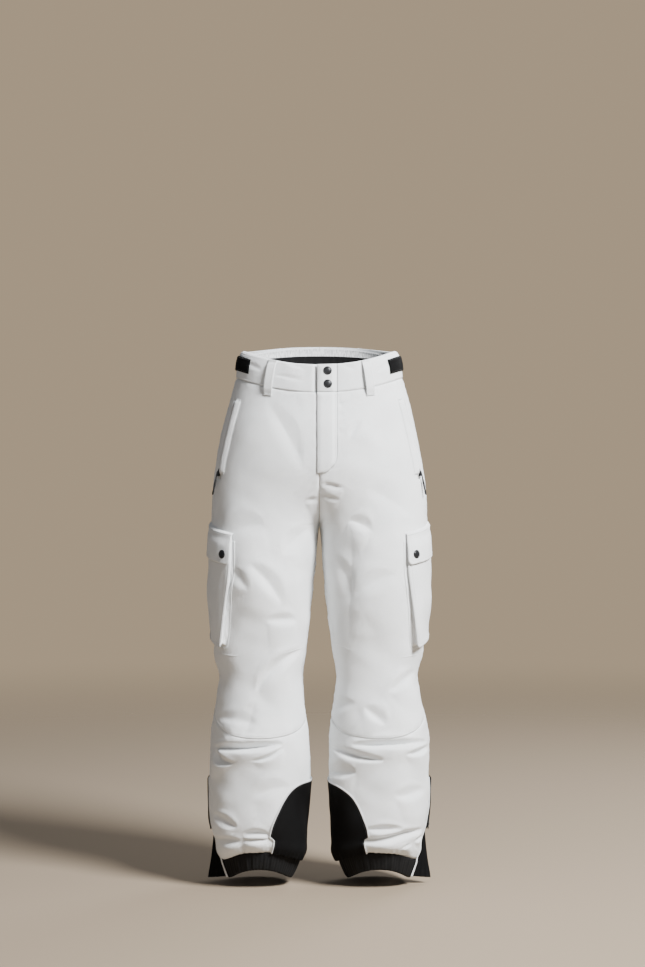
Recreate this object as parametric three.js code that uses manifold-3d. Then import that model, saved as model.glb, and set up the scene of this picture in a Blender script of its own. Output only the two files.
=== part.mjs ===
// Insulated ski pants, shaped as if worn: shell panels, ankle guards, hem bands and gaiters, cargo and hand
// pockets, zips, snaps, belt loops, adjuster tabs and the fly, each piece its own closed solid.
// Millimetres, +Z up, +X to the wearer's left, -Y to the front. Heights below are above the lowest hem.
// The exported group is moved down so that its origin is the middle of the waist opening.
import * as THREE from "three";
import Module from "manifold-3d";
import { mergeVertices } from "three/addons/utils/BufferGeometryUtils.js";

const wasm = await Module();
wasm.setup();

// ---------- driving dimensions ----------
const WAIST_TOP = 1042; // top edge of the waistband at the side
const WAIST_SEAM = 988; // seam under the waistband at the side
const WAIST_ORIGIN = 1015; // height of the exported origin
const FRONT_DIP = 32; // how much lower the waist runs at the centre front than at the side
const BACK_RISE = 15; // how much higher it runs at the centre back
const SHAPING_FOOT = 850; // height where that shaping begins
const CROTCH = 702;
const FRONT_CURVE = 130; // height over which the front rise turns under
const BACK_CURVE = 250; // the same for the seat
const LEG_BLEND = 120; // how far above and below the crotch the thighs part from the trunk
const HEM_ARCH = 26; // how much the hem is cut away over the instep
const SQUARENESS = 2.25; // superellipse exponent of every cross-section

// The outline of one half, as [height, millimetres] pairs: the outer and inner edge of the leg from the
// middle of the pants, and the front and back of the pants from their middle plane.
const OUTER = [[0, 182], [56, 199], [115, 212], [204, 217], [273, 216], [352, 204], [401, 196], [451, 200],
  [550, 207], [702, 213], [800, 207], [900, 188], [945, 177], [988, 165], [1018, 162], [1034, 157],
  [1042, 151]];
const INNER = [[0, 52], [56, 30], [115, 24], [204, 18], [273, 20], [352, 29], [401, 34], [451, 27], [550, 15],
  [629, 8], [690, 3], [702, 0]];
const FRONT = [[0, 66], [56, 84], [115, 97], [273, 107], [401, 98], [550, 114], [702, 127], [800, 131],
  [900, 126], [988, 114], [1042, 110]];
const BACK = [[0, 92], [56, 104], [204, 105], [401, 98], [550, 118], [702, 136], [800, 142], [900, 134],
  [988, 118], [1042, 112]];

const CLOTH = 3; // insulated shell: face fabric, wadding and lining
const BAND = 4; // waistband
const GAP = 0.3; // left open along every seam
const CLEAR = 0.4; // between a small piece and what it lies on
const LAY = 1.3; // between a curved piece of cloth and what it lies on

const HEM_BAND = 36; // height of the elastic hem band
const GUARD_TOP = 203; // height of the ankle guard
const GUARD_HALF = 0.227; // its half width, as a share of the leg's girth
const HEM_ZIP = [100, 196]; // heights of the closed hem zip's ends
const ZIP_TAPE = 12.4; // width of a zip's two tapes
const ZIP_SLOT = 13.2; // width of the slot that they fill
const GUSSET_FLARE = 36; // how far the hem gusset stands out at its foot

const POUCH_TOP = 688;
const POUCH_FOOT = 469;
const POUCH_WALL = 1.4;
const POUCH_MOUTH = 4.5; // how far the pouch's face stands off the leg at its top
const POUCH_EDGE = 16.5; // how much further it stands at its foot, along its sides
const POUCH_MIDDLE = 9.5; // the same along its middle, where the leg's round side comes nearest
const POUCH_FRONT = [0.324, 0.376]; // its front edge at the flap and at its foot, as shares of the girth
const POUCH_BACK = [0.605, 0.58]; // its back edge
const FLAP_TOP = 697;
const FLAP_DROP = 57;
const FLAP_THICK = 1.6;
const STUD_ROOM = 2.6; // room that the flap leaves for the stud
const FLAP_REST = 0.7; // between the flap's top and the pouch
const ROOM_GROWTH = 2.4; // the room is full this many times nearer the flap's top than its lower edge
const POCKET_TILT = 106; // rise of the cargo pocket towards the back, per girth
const CARGO_HINGE_U = 0.47; // where the straight axis touches the flap's curved top
const CARGO_SNAP = { u: 0.358, h: 643 };

const POCKET_ZIP = [790, 945]; // heights of the hand pocket zip's ends
const WELT = { width: 13, thick: 2.2, foot: 798, top: 949 };
const WELT_U = [0.356, 0.342]; // the welt's middle at its foot and top, as shares of the girth
const POCKET_BAG = { front: 0.22, back: 0.38, foot: 765, top: 930, depth: 12, thick: 2 };
const PULL = { pocket: 44, hem: 18 }; // lengths of the zip pulls

const FLY_EDGE = -4; // x of the fly flap's free edge
const FLY_STITCH = 34; // x of its stitched edge
const FLY_FOOT = 800;
const FLY_ROUND = 36; // height of the J at its foot
const FLY_ZIP_X = 11;
const FLY_ZIP = [814, 984]; // heights of the fly zip's ends
const FLY_LIFT = 3.4; // how far the flap stands proud, from its free edge to FLY_PAD_X
const FLY_PAD_X = 25;
const UNDERLAP_X = 28; // how far the waistband runs on beneath the tab
const UNDERLAP_DEPTH = 4.2;

const SNAP_R = 7.6;
const WAIST_SNAP_X = 16.3;
const WAIST_SNAPS = [1003.5, 1029];
const LOOP_X = { front: 97, back: 78 }; // how far the belt loops lie from the centre
const LOOP = { width: 18, thick: 2, rise: 8.5, foot: 972, top: 1041 };
const TAB = { low: 1004, high: 1030, front: 0.31, back: 0.56 };

// ---------- materials ----------
function material(hex, roughness, metalness = 0) {
  return new THREE.MeshStandardMaterial({ color: hex, roughness, metalness });
}
const WHITE = material(0xe4e6e6, 0.85);
const FLEECE = material(0xd8dbdb, 0.95);
const LINER = material(0xc9cccc, 0.9);
const BLACK = material(0x151515, 0.8);
const ELASTIC = material(0x1c1c1e, 0.75);
const COIL = material(0x18181a, 0.5);
const METAL = material(0x2c2d30, 0.35, 0.9);

// ---------- the skin: the outer surface of the shell ----------
function clamp01(x) {
  return Math.min(1, Math.max(0, x));
}
function smooth(x) {
  const t = clamp01(x);
  return t * t * (3 - 2 * t);
}

// A smooth curve through [height, value] pairs.
function through(pairs) {
  const last = pairs.length - 1;
  const slope = (i) => {
    const a = pairs[Math.max(0, i - 1)];
    const b = pairs[Math.min(last, i + 1)];
    return (b[1] - a[1]) / (b[0] - a[0]);
  };
  return (h) => {
    const height = Math.min(pairs[last][0], Math.max(pairs[0][0], h));
    let i = 0;
    while (i < last - 1 && height > pairs[i + 1][0]) i++;
    const [h0, v0] = pairs[i];
    const [h1, v1] = pairs[i + 1];
    const span = h1 - h0;
    const t = (height - h0) / span;
    const ease = smooth(t);
    return v0 * (1 - ease) + v1 * ease
      + slope(i) * span * t * (1 - t) * (1 - t)
      - slope(i + 1) * span * t * t * (1 - t);
  };
}
const outerAt = through(OUTER);
const innerAt = through(INNER);
const frontAt = through(FRONT);
const backAt = through(BACK);

function squared(x) {
  return Math.sign(x) * Math.abs(x) ** (2 / SQUARENESS);
}

// How far the shaping of the waist and hem moves a point from its nominal height.
function heightShift(u, h) {
  const rise = smooth((h - SHAPING_FOOT) / (WAIST_SEAM - SHAPING_FOOT));
  const waist = (u < 0.5 ? -FRONT_DIP : BACK_RISE) * Math.cos(Math.PI * u) ** 2 * rise;
  const arch = u < 0.5 ? HEM_ARCH * Math.sin(2 * Math.PI * u) ** 2 : 0;
  return waist + arch * (1 - smooth((h - HEM_BAND) / 120));
}

// How far a point has turned from the trunk's section to the leg's: at the rise seam it happens in a round
// turn that ends at the crotch, and away from it gradually, above and below the crotch.
function legShare(u, h) {
  const curve = FRONT_CURVE + (BACK_CURVE - FRONT_CURVE) * smooth(u);
  const above = 1 - clamp01((h - CROTCH) / curve);
  const atSeam = h <= CROTCH ? 1 : 1 - Math.sqrt(1 - above * above);
  const gradual = smooth((CROTCH + LEG_BLEND - h) / (2 * LEG_BLEND));
  const nearSeam = Math.exp(-((Math.sin(Math.PI * u) / 0.16) ** 2));
  return gradual + (atSeam - gradual) * nearSeam;
}

// A point of the wearer's left half. u runs from the centre front or inseam (0), round the outer side (0.5),
// to the centre back or inseam (1), and h is the nominal height.
function skin(anyU, h) {
  const u = anyU === 1 ? 1 : anyU - Math.floor(anyU);
  const outer = outerAt(h);
  const inner = h < CROTCH ? innerAt(h) : 0;
  const middle = (backAt(h) - frontAt(h)) / 2;
  const depth = (backAt(h) + frontAt(h)) / 2;
  const turn = 2 * Math.PI * (u - 0.5);
  const legX = (outer + inner) / 2 + ((outer - inner) / 2) * squared(Math.cos(turn));
  const legY = depth * squared(Math.sin(turn));
  const trunkX = outer * squared(Math.cos(turn / 2));
  const trunkY = depth * squared(Math.sin(turn / 2));
  const asLeg = legShare(u, h);
  return new THREE.Vector3(
    trunkX + (legX - trunkX) * asLeg,
    middle + trunkY + (legY - trunkY) * asLeg,
    h + heightShift(u, h),
  );
}

function outward(u, h) {
  const step = 0.004;
  const inTrunk = h >= CROTCH;
  const lowU = inTrunk ? Math.max(0, u - step) : u - step;
  const highU = inTrunk ? Math.min(1, u + step) : u + step;
  const along = skin(highU, h).sub(skin(lowU, h));
  const up = skin(u, h + 2).sub(skin(u, h - 2));
  return along.cross(up).normalize();
}

// A point lifted off the skin. side is 1 for the wearer's left and -1 for the right.
function lifted(side, u, h, lift) {
  const p = skin(u, h).addScaledVector(outward(u, h), lift);
  return new THREE.Vector3(side * p.x, p.y, p.z);
}

// The step in u that makes this many millimetres along the girth.
function share(mm, u, h) {
  if (mm === 0) return 0;
  let step = mm / 600;
  for (let i = 0; i < 4; i++) step *= Math.abs(mm) / skin(u, h).distanceTo(skin(u + step, h));
  return step;
}

// The u of a point of the trunk's front at this distance from the centre.
function frontU(x, h) {
  return Math.asin((Math.abs(x) / outerAt(h)) ** (SQUARENESS / 2)) / Math.PI;
}

// A lifted point of the trunk's front, by its x.
function frontPoint(x, h, lift) {
  return lifted(x < 0 ? -1 : 1, frontU(x, h), h, lift);
}

// ---------- solids ----------
function steps(n) {
  return Array.from({ length: n + 1 }, (_, i) => i / n);
}

function faceOut(geometry) {
  const { array } = geometry.attributes.position;
  const index = geometry.index.array;
  const at = (i) => new THREE.Vector3().fromArray(array, 3 * i);
  let volume = 0;
  for (let i = 0; i < index.length; i += 3)
    volume += at(index[i]).dot(at(index[i + 1]).cross(at(index[i + 2])));
  if (volume < 0) geometry.setIndex([...index].reverse());
  return geometry;
}

// The closed solid between two grids of points, as between the two faces of a piece of cloth.
function between(face, lining) {
  const rows = face.length;
  const cols = face[0].length;
  const points = [...face.flat(), ...lining.flat()];
  const back = rows * cols;
  const id = (i, j) => i * cols + j;
  const triangles = [];
  const quad = (a, b, c, d) => triangles.push(a, b, c, a, c, d);
  for (let i = 0; i < rows - 1; i++)
    for (let j = 0; j < cols - 1; j++) {
      quad(id(i, j), id(i, j + 1), id(i + 1, j + 1), id(i + 1, j));
      quad(back + id(i, j), back + id(i + 1, j), back + id(i + 1, j + 1), back + id(i, j + 1));
    }
  const wall = (a, b) => quad(a, back + a, back + b, b);
  for (let j = 0; j < cols - 1; j++) {
    wall(id(0, j), id(0, j + 1));
    wall(id(rows - 1, j + 1), id(rows - 1, j));
  }
  for (let i = 0; i < rows - 1; i++) {
    wall(id(i + 1, 0), id(i, 0));
    wall(id(i, cols - 1), id(i + 1, cols - 1));
  }
  const flat = new Float32Array(points.flatMap((p) => p.toArray()));
  return faceOut(new THREE.BufferGeometry()
    .setAttribute("position", new THREE.BufferAttribute(flat, 3))
    .setIndex(triangles));
}

// A sheet of even thickness: point(s, t, depth) gives the place s across and t up, that deep below its face.
function sheet(across, up, thick, point) {
  const grid = (depth) => up.map((t) => across.map((s) => point(s, t, depth)));
  return between(grid(0), grid(thick));
}

// Holds a half's points clear of the centre plane, where the other half begins.
function offCentre(point, side) {
  if (side * point.x < GAP) point.x = side * GAP;
  return point;
}

function solidOf(geometry) {
  const plain = geometry.clone();
  plain.deleteAttribute("normal");
  plain.deleteAttribute("uv");
  const merged = mergeVertices(plain, 1e-3);
  return new wasm.Manifold(new wasm.Mesh({
    numProp: 3,
    vertProperties: merged.attributes.position.array,
    triVerts: new Uint32Array(merged.index.array),
  }));
}

function geometryOf(solid) {
  const mesh = solid.getMesh();
  return new THREE.BufferGeometry()
    .setAttribute("position", new THREE.BufferAttribute(mesh.vertProperties, 3))
    .setIndex(new THREE.BufferAttribute(mesh.triVerts, 1));
}

function cut(geometry, tool) {
  return geometryOf(solidOf(geometry).subtract(solidOf(tool)));
}

function joined(geometries) {
  return geometryOf(geometries.map(solidOf).reduce((a, b) => a.add(b)));
}

function box(width, depth, height, x, y, z) {
  return new THREE.BoxGeometry(width, depth, height).translate(x, y, z);
}

// A rod along X.
function rod(radius, length, y, z, sides = 10) {
  return new THREE.CylinderGeometry(radius, radius, length, sides).rotateZ(Math.PI / 2).translate(0, y, z);
}

function turned(profile, sides = 16) {
  return new THREE.LatheGeometry(profile.map(([r, y]) => new THREE.Vector2(r, y)), sides);
}

// A frame at foot whose Z runs to top, whose Y points out and whose X runs across.
function lineFrame(foot, top, out) {
  const along = top.clone().sub(foot).normalize();
  const normal = out.clone().addScaledVector(along, -out.dot(along)).normalize();
  return new THREE.Matrix4().makeBasis(normal.clone().cross(along), normal, along).setPosition(foot);
}

// The frame of a straight piece laid on the skin between two places, each [u, h].
function laidFrame(side, foot, top, lift = 0) {
  const out = outward((foot[0] + top[0]) / 2, (foot[1] + top[1]) / 2);
  out.x *= side;
  return lineFrame(lifted(side, ...foot, lift), lifted(side, ...top, lift), out);
}

// The frame of a small round piece set on the skin.
function spotFrame(side, u, h, lift) {
  return laidFrame(side, [u, h], [u, h + 3], lift);
}

function frameLength(foot, top) {
  return skin(...foot).distanceTo(skin(...top));
}

// ---------- the scene graph ----------
const pants = new THREE.Group();
pants.name = "pants";
pants.position.z = -WAIST_ORIGIN;
const whole = new THREE.Group().add(pants);

function add(name, geometry, itsMaterial, parent = pants) {
  const mesh = new THREE.Mesh(geometry, itsMaterial);
  mesh.name = name;
  const place = parent.userData.pivot;
  if (place) geometry.translate(-place.x, -place.y, -place.z);
  parent.add(mesh);
}

// A group that turns about, or slides along, an axis through its origin.
function moving(name, pivot, axis, parent = pants) {
  const group = new THREE.Group();
  group.name = name;
  group.position.copy(pivot);
  if (parent.userData.pivot) group.position.sub(parent.userData.pivot);
  group.userData = { pivot: pivot.clone(), axis: axis.clone().normalize() };
  parent.add(group);
  return group;
}

const SIDES = [["left", 1], ["right", -1]];

// ---------- shell panels ----------
// The seam across the shin: a smile over the front, nearly level behind.
function shinSeam(anyU) {
  const u = anyU - Math.floor(anyU);
  if (u < 0.25) return 275 + 36 * ((0.25 - u) / 0.25) ** 2;
  if (u < 0.5) return 275 + 55 * ((u - 0.25) / 0.25) ** 2;
  return 330 - 19 * smooth((u - 0.5) / 0.5) + 14 * Math.sin(2 * Math.PI * (u - 0.5));
}

function yokeSeam(u) {
  return WAIST_SEAM - 62 - 44 * smooth((u - 0.5) / 0.5);
}

// Rows from the shin seam (-1) over the crotch (0) to the top seam (1), close together where the rise turns.
const RISE_ROWS = [-1, -0.75, -0.5, -0.27, -0.1, 0, 0.002, 0.012, 0.04, 0.1, 0.19, 0.32, 0.48, 0.65, 0.82, 1];

// The front (u0 = 0) or back (u0 = 0.5) of one leg and its side of the trunk.
function upperPanel(side, u0, topSeam) {
  return sheet(steps(12), RISE_ROWS, CLOTH, (s, k, depth) => {
    const rough = u0 + 0.5 * s;
    const end = k < 0 ? shinSeam(rough) + GAP / 2 : topSeam(rough) - GAP / 2;
    const h = CROTCH + Math.abs(k) * (end - CROTCH);
    const edge = share(GAP / 2, 0.5, h);
    return offCentre(lifted(side, u0 + edge + (0.5 - 2 * edge) * s, h, -depth), side);
  });
}

function frontPanel(side) {
  let panel = upperPanel(side, 0, () => WAIST_SEAM);
  if (side > 0) panel = cut(panel, flyCutter());
  return cut(panel, pocketSlot(side));
}

function yoke(side) {
  return sheet(steps(12), steps(2), CLOTH, (s, t, depth) => {
    const edge = share(GAP / 2, 0.5, WAIST_SEAM);
    const u = 0.5 + edge + (0.5 - 2 * edge) * s;
    const foot = yokeSeam(u) + GAP / 2;
    return offCentre(lifted(side, u, foot + (WAIST_SEAM - GAP / 2 - foot) * t, -depth), side);
  });
}

// The lower leg is split by the inseam and by the hem zip, whose slot takes the zip's tapes.
function lowerU(u0, s, h, slotted) {
  const seam = share(GAP / 2, 0.5, h);
  const slot = slotted ? share(ZIP_SLOT / 2, 0.5, h) : seam;
  const [before, after] = u0 === 0 ? [seam, slot] : [slot, seam];
  return u0 + before + (0.5 - before - after) * s;
}

function lowerPanel(side, u0) {
  const foot = HEM_BAND + GAP / 2;
  const slotTop = (HEM_ZIP[1] + 1 - foot) / (shinSeam(0.5) - foot);
  const rows = [0, slotTop / 3, (2 * slotTop) / 3, slotTop, slotTop + 0.02, (slotTop + 1) / 2, 0.85, 1];
  return sheet(steps(12), rows, CLOTH, (s, t, depth) => {
    const h = foot + (shinSeam(u0 + 0.5 * s) - GAP / 2 - foot) * t;
    return lifted(side, lowerU(u0, s, h, t <= slotTop), h, -depth);
  });
}

function shellPanels(label, side) {
  add(`front_panel_${label}`, frontPanel(side), WHITE);
  add(`back_panel_${label}`, upperPanel(side, 0.5, yokeSeam), WHITE);
  add(`back_yoke_${label}`, yoke(side), WHITE);
  add(`shin_panel_${label}`, lowerPanel(side, 0), WHITE);
  add(`calf_panel_${label}`, lowerPanel(side, 0.5), WHITE);
}

// ---------- zips ----------
const COIL_W = 5;
const COIL_H = 2.2;
const TAPE = 1;
const SLIDER = { length: 12, width: 9, top: COIL_H + 2 };
const BAR = { radius: 0.7, lift: SLIDER.top + 2, cheek: 2.6 };

function zipChain(length, width) {
  return joined([
    box(width, TAPE, length, 0, -TAPE / 2, length / 2),
    box(COIL_W, COIL_H + TAPE, length - 2, 0, (COIL_H - TAPE) / 2, length / 2),
  ]);
}

// The slider's body straddles the coil, and two cheeks hold the bar that its pull swings on.
function sliderBody() {
  const plate = SLIDER.top - COIL_H - CLEAR;
  const block = joined([
    box(SLIDER.width, SLIDER.top - CLEAR, SLIDER.length, 0, (SLIDER.top + CLEAR) / 2, 0),
    new THREE.CylinderGeometry(SLIDER.width / 2, SLIDER.width / 2, plate, 12)
      .translate(0, SLIDER.top - plate / 2, SLIDER.length / 2),
  ]);
  return cut(block, box(COIL_W + 2 * CLEAR, 2 * (COIL_H + CLEAR), 4 * SLIDER.length, 0, 0, 0));
}

function zipSlider() {
  const cheek = (x) => box(1.2, BAR.lift - SLIDER.top + 1.2, 3.6, x, (BAR.lift + SLIDER.top + 0.8) / 2, 0);
  return joined([
    sliderBody(),
    cheek(-BAR.cheek),
    cheek(BAR.cheek),
    rod(BAR.radius, 2 * BAR.cheek + 0.6, BAR.lift, 0),
  ]);
}

// A pull hanging from the bar: an eye, a shank and a grip that ends in a drop.
function zipPull(length) {
  const dropR = 3.1;
  const drop = new THREE.SphereGeometry(dropR, 10, 6)
    .scale(1, 0.45, 1.9)
    .translate(0, 0, 1.9 * dropR - length);
  const made = joined([
    rod(1.7, 2.8, 0, 0, 12),
    box(2.8, 1.6, length - 8, 0, 0, -(length - 6) / 2),
    drop,
  ]);
  return cut(made, rod(BAR.radius + 0.35, 8, 0, 0)).translate(0, BAR.lift, 0);
}

// A zip from foot to top in a frame, with its slider resting at a distance above the foot.
function zip(label, frame, length, width, rest, pullLength) {
  add(`${label}_zip`, zipChain(length, width).applyMatrix4(frame), COIL);
  const along = new THREE.Vector3().setFromMatrixColumn(frame, 2);
  const place = frame.clone().multiply(new THREE.Matrix4().makeTranslation(0, 0, rest));
  const run = moving(`${label}_slider_run`, new THREE.Vector3().setFromMatrixPosition(place), along);
  if (!pullLength) {
    const tab = box(4.4, 1.3, 16, 0, SLIDER.top + 0.5, -4);
    add(`${label}_slider`, joined([sliderBody(), tab]).applyMatrix4(place), METAL, run);
    return;
  }
  add(`${label}_slider`, zipSlider().applyMatrix4(place), METAL, run);
  const bar = new THREE.Vector3(0, BAR.lift, 0).applyMatrix4(place);
  const across = new THREE.Vector3().setFromMatrixColumn(place, 0);
  const swing = moving(`${label}_pull_swing`, bar, across, run);
  add(`${label}_pull`, zipPull(pullLength).applyMatrix4(place), BLACK, swing);
}

// ---------- ankle: guard, hem band, gaiter, gusset and hem zip ----------
function guard(side) {
  const foot = HEM_BAND + 1;
  const rows = [0, 0.25, 0.5, 0.7, 0.84, 0.93, 0.985];
  return sheet(steps(12), rows, 1.5, (s, t, depth) => {
    const half = GUARD_HALF * (1 - t ** 1.6) ** 0.21;
    return lifted(side, half * (2 * s - 1), foot + (GUARD_TOP - foot) * t, LAY + 2.1 - depth);
  });
}

// A band round the leg from one side of the hem zip's slit to the other.
function hemBand(side) {
  const around = [0.5, 0].flatMap((u0) => steps(12).map((s) => ({ u0, s })));
  return sheet(around, steps(1), CLOTH, ({ u0, s }, t, depth) =>
    lifted(side, lowerU(u0, s, HEM_BAND * t, true), (HEM_BAND - GAP / 2) * t, -depth));
}

// The inner cuff that closes round the boot.
function gaiter(side) {
  return sheet(steps(22), [0, 0.15, 1], 1.2, (s, t, depth) => {
    const snug = t < 0.1 ? 20 : 14;
    return lifted(side, 0.002 + 0.996 * s, 22 + 200 * t, -snug - depth);
  });
}

// The fold of cloth that fills the open foot of the hem zip and stands out from it.
function gusset(side) {
  const top = HEM_ZIP[0] - 2;
  return sheet([0, 0.25, 0.5, 0.75, 1], steps(4), 1.2, (s, t, depth) => {
    const h = 3 + (top - 3) * t;
    const half = share(ZIP_TAPE / 2, 0.5, h);
    const fold = 1 - Math.abs(2 * s - 1);
    const lift = GUSSET_FLARE * ((top - h) / (top - 6)) ** 1.15 * fold;
    const u = 0.5 + half * (2 * s - 1) * (depth ? 0.72 : 1);
    return lifted(side, u, h, Math.max(0, lift - 2.4 * depth) - depth);
  });
}

function ankle(label, side) {
  add(`ankle_guard_${label}`, guard(side), BLACK);
  add(`hem_band_${label}`, hemBand(side), ELASTIC);
  add(`snow_gaiter_${label}`, gaiter(side), LINER);
  add(`hem_gusset_${label}`, gusset(side), BLACK);
  const [foot, top] = HEM_ZIP.map((h) => [0.5, h]);
  zip(`hem_${label}`, laidFrame(side, foot, top), frameLength(foot, top), ZIP_TAPE, 14, PULL.hem);
}

// ---------- cargo pocket on the outer thigh ----------
function between01(pair, t) {
  return pair[0] + (pair[1] - pair[0]) * t;
}

// The pocket's front and back edges at a height, as shares of the girth.
function pocketEdges(h) {
  const down = (FLAP_TOP - h) / (FLAP_TOP - POUCH_FOOT);
  return [between01(POUCH_FRONT, down), between01(POUCH_BACK, down)];
}

function pocketPoint(side, s, h, lift, inset = 0) {
  const [front, back] = pocketEdges(h);
  const trim = inset / 650;
  const u = front + trim + (back - front - 2 * trim) * s;
  return lifted(side, u, h + POCKET_TILT * (u - 0.5), lift);
}

// How far the pouch's flat face stands off the round leg, s across from its front edge and at a height.
function pouchLift(s, h) {
  const down = 1 - clamp01((h - POUCH_FOOT) / (POUCH_TOP - POUCH_FOOT));
  const edge = POUCH_EDGE * down ** 1.1;
  const middle = POUCH_MIDDLE * down ** 0.6;
  return POUCH_MOUTH + middle + (edge - middle) * (2 * s - 1) ** 2;
}

// The pouch is open at its top and towards the leg, which is its back wall.
function pouch(side) {
  const solid = (inset, low, high, faceOff, backLift) => {
    const grid = (lift) => steps(5).map((t) => steps(8).map((s) => {
      const h = POUCH_FOOT + (POUCH_TOP - POUCH_FOOT) * (low + (high - low) * t);
      return pocketPoint(side, s, h, lift(s, h), inset);
    }));
    return between(grid((s, h) => pouchLift(s, h) - faceOff), grid(() => backLift));
  };
  return cut(solid(0, 0, 1, 0, LAY), solid(POUCH_WALL, 0.012, 1.1, POUCH_WALL, -2));
}

// The flap's outer face lies over the pouch, clear of the stud.
function flapLift(s, h) {
  const room = FLAP_REST + STUD_ROOM * smooth((ROOM_GROWTH * (FLAP_TOP - h)) / FLAP_DROP);
  return pouchLift(s, h) + room + FLAP_THICK;
}

function flap(side) {
  return sheet(steps(8), steps(3), FLAP_THICK, (s, t, depth) => {
    const h = FLAP_TOP - FLAP_DROP * (1 - t);
    return pocketPoint(side, s * 1.02 - 0.01, h, flapLift(s, h) - depth);
  });
}

const CAP = [[0, CLEAR], [SNAP_R, CLEAR], [SNAP_R, 1.1], [SNAP_R * 0.82, 2.2], [SNAP_R * 0.5, 1.9],
  [0, 2.1]];
const STUD = [[0, 0], [5, 0], [5, 0.6], [2.4, 0.7], [2.4, 1.3], [0, 1.3]];

function cargoPocket(label, side) {
  const hingeH = FLAP_TOP + POCKET_TILT * (CARGO_HINGE_U - 0.5);
  const pivot = lifted(side, CARGO_HINGE_U, hingeH, flapLift(0.5, FLAP_TOP));
  const turn = moving(`cargo_flap_turn_${label}`, pivot, new THREE.Vector3(0, -side, -0.13 * side));
  const { u, h } = CARGO_SNAP;
  const level = h - POCKET_TILT * (u - 0.5);
  const [front, back] = pocketEdges(level);
  const across = (u - front) / (back - front);
  const stud = turned(STUD, 12).applyMatrix4(spotFrame(side, u, h, pouchLift(across, level) + CLEAR));
  const cap = turned(CAP).applyMatrix4(spotFrame(side, u, h, flapLift(across, level)));
  add(`cargo_pouch_${label}`, pouch(side), WHITE);
  add(`cargo_snap_stud_${label}`, stud, METAL);
  add(`cargo_flap_${label}`, flap(side), WHITE, turn);
  add(`cargo_snap_cap_${label}`, cap, METAL, turn);
}

// ---------- hand pocket ----------
function weltLine(h) {
  return between01(WELT_U, (h - WELT.foot) / (WELT.top - WELT.foot));
}

// The zip runs just behind the welt.
function pocketZipEnds() {
  const beside = WELT.width / 2 + ZIP_SLOT / 2 + 1.5;
  return POCKET_ZIP.map((h) => [weltLine(h) + share(beside, 0.37, h), h]);
}

function pocketZipFrame(side) {
  return laidFrame(side, ...pocketZipEnds());
}

function pocketSlot(side) {
  const length = frameLength(...pocketZipEnds());
  return box(ZIP_SLOT, 30, length + 1, 0, 0, length / 2).applyMatrix4(pocketZipFrame(side));
}

function handPocket(label, side) {
  const welt = sheet(steps(2), steps(6), WELT.thick, (s, t, depth) => {
    const h = between01([WELT.foot, WELT.top], t);
    const u = weltLine(h) + share(WELT.width * (s - 0.5), 0.37, h);
    return lifted(side, u, h, CLEAR + WELT.thick - depth);
  });
  const bag = sheet(steps(4), steps(4), POCKET_BAG.thick, (s, t, depth) => {
    const u = between01([POCKET_BAG.front, POCKET_BAG.back], s);
    return lifted(side, u, between01([POCKET_BAG.foot, POCKET_BAG.top], t), -POCKET_BAG.depth - depth);
  });
  add(`hand_pocket_welt_${label}`, welt, WHITE);
  add(`hand_pocket_bag_${label}`, bag, LINER);
  const length = frameLength(...pocketZipEnds());
  zip(`hand_pocket_${label}`, pocketZipFrame(side), length, ZIP_TAPE, 10, PULL.pocket);
}

// ---------- waistband ----------
const BAND_ROWS = [0, 0.26, 0.56, 0.78, 1];

function bandHeight(t) {
  return WAIST_SEAM + GAP / 2 + (WAIST_TOP - WAIST_SEAM - GAP / 2) * t;
}

// A point of the waistband, where v runs from the centre front of the wearer's right (-1), round the
// centre back (0), to the centre front of the left (1).
function bandPoint(v, h, lift) {
  return lifted(v < 0 ? -1 : 1, 1 - Math.abs(v), h, lift);
}

function leftBand() {
  return sheet(steps(18), BAND_ROWS, BAND, (s, t, depth) => {
    const h = bandHeight(t);
    const end = 1 - frontU(FLY_STITCH + 2 * GAP, h);
    return offCentre(bandPoint(end * s, h, -depth), 1);
  });
}

// The right band runs on beneath the tab, set back to leave room for the tab and the snaps.
function rightBand() {
  const xs = [UNDERLAP_X, 16, 4, -4, -14, -30, -48];
  const across = [...xs.map((x) => ({ x })), ...steps(18).map((s) => ({ v: -(1 - s) }))];
  const ends = across.filter(({ v }) => v === undefined || v > -0.88);
  return sheet(ends, BAND_ROWS, BAND, ({ x, v }, t, depth) => {
    const h = bandHeight(t);
    if (v !== undefined) return offCentre(bandPoint(v, h, -depth), -1);
    const set = UNDERLAP_DEPTH * (1 - smooth((-4 - x) / 10));
    return frontPoint(x, h, -set - depth);
  });
}

const LINING = 1.6;
function liningBand() {
  const levels = [962, 974, 988, 1002, 1018, 1030, 1038];
  return sheet(steps(32), levels, LINING, (s, h, depth) => {
    const start = -(1 - frontU(FLY_STITCH, WAIST_SEAM));
    const end = 1 - frontU(FLY_STITCH + 4, WAIST_SEAM);
    return bandPoint(start + (end - start) * s, h, -BAND - LAY - depth);
  });
}

function gripper() {
  return sheet(steps(18), [1000, 1008, 1018, 1024], 1.2, (s, h, depth) =>
    bandPoint(0.62 * (2 * s - 1), h, -BAND - LINING - 2 * LAY - depth));
}

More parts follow.
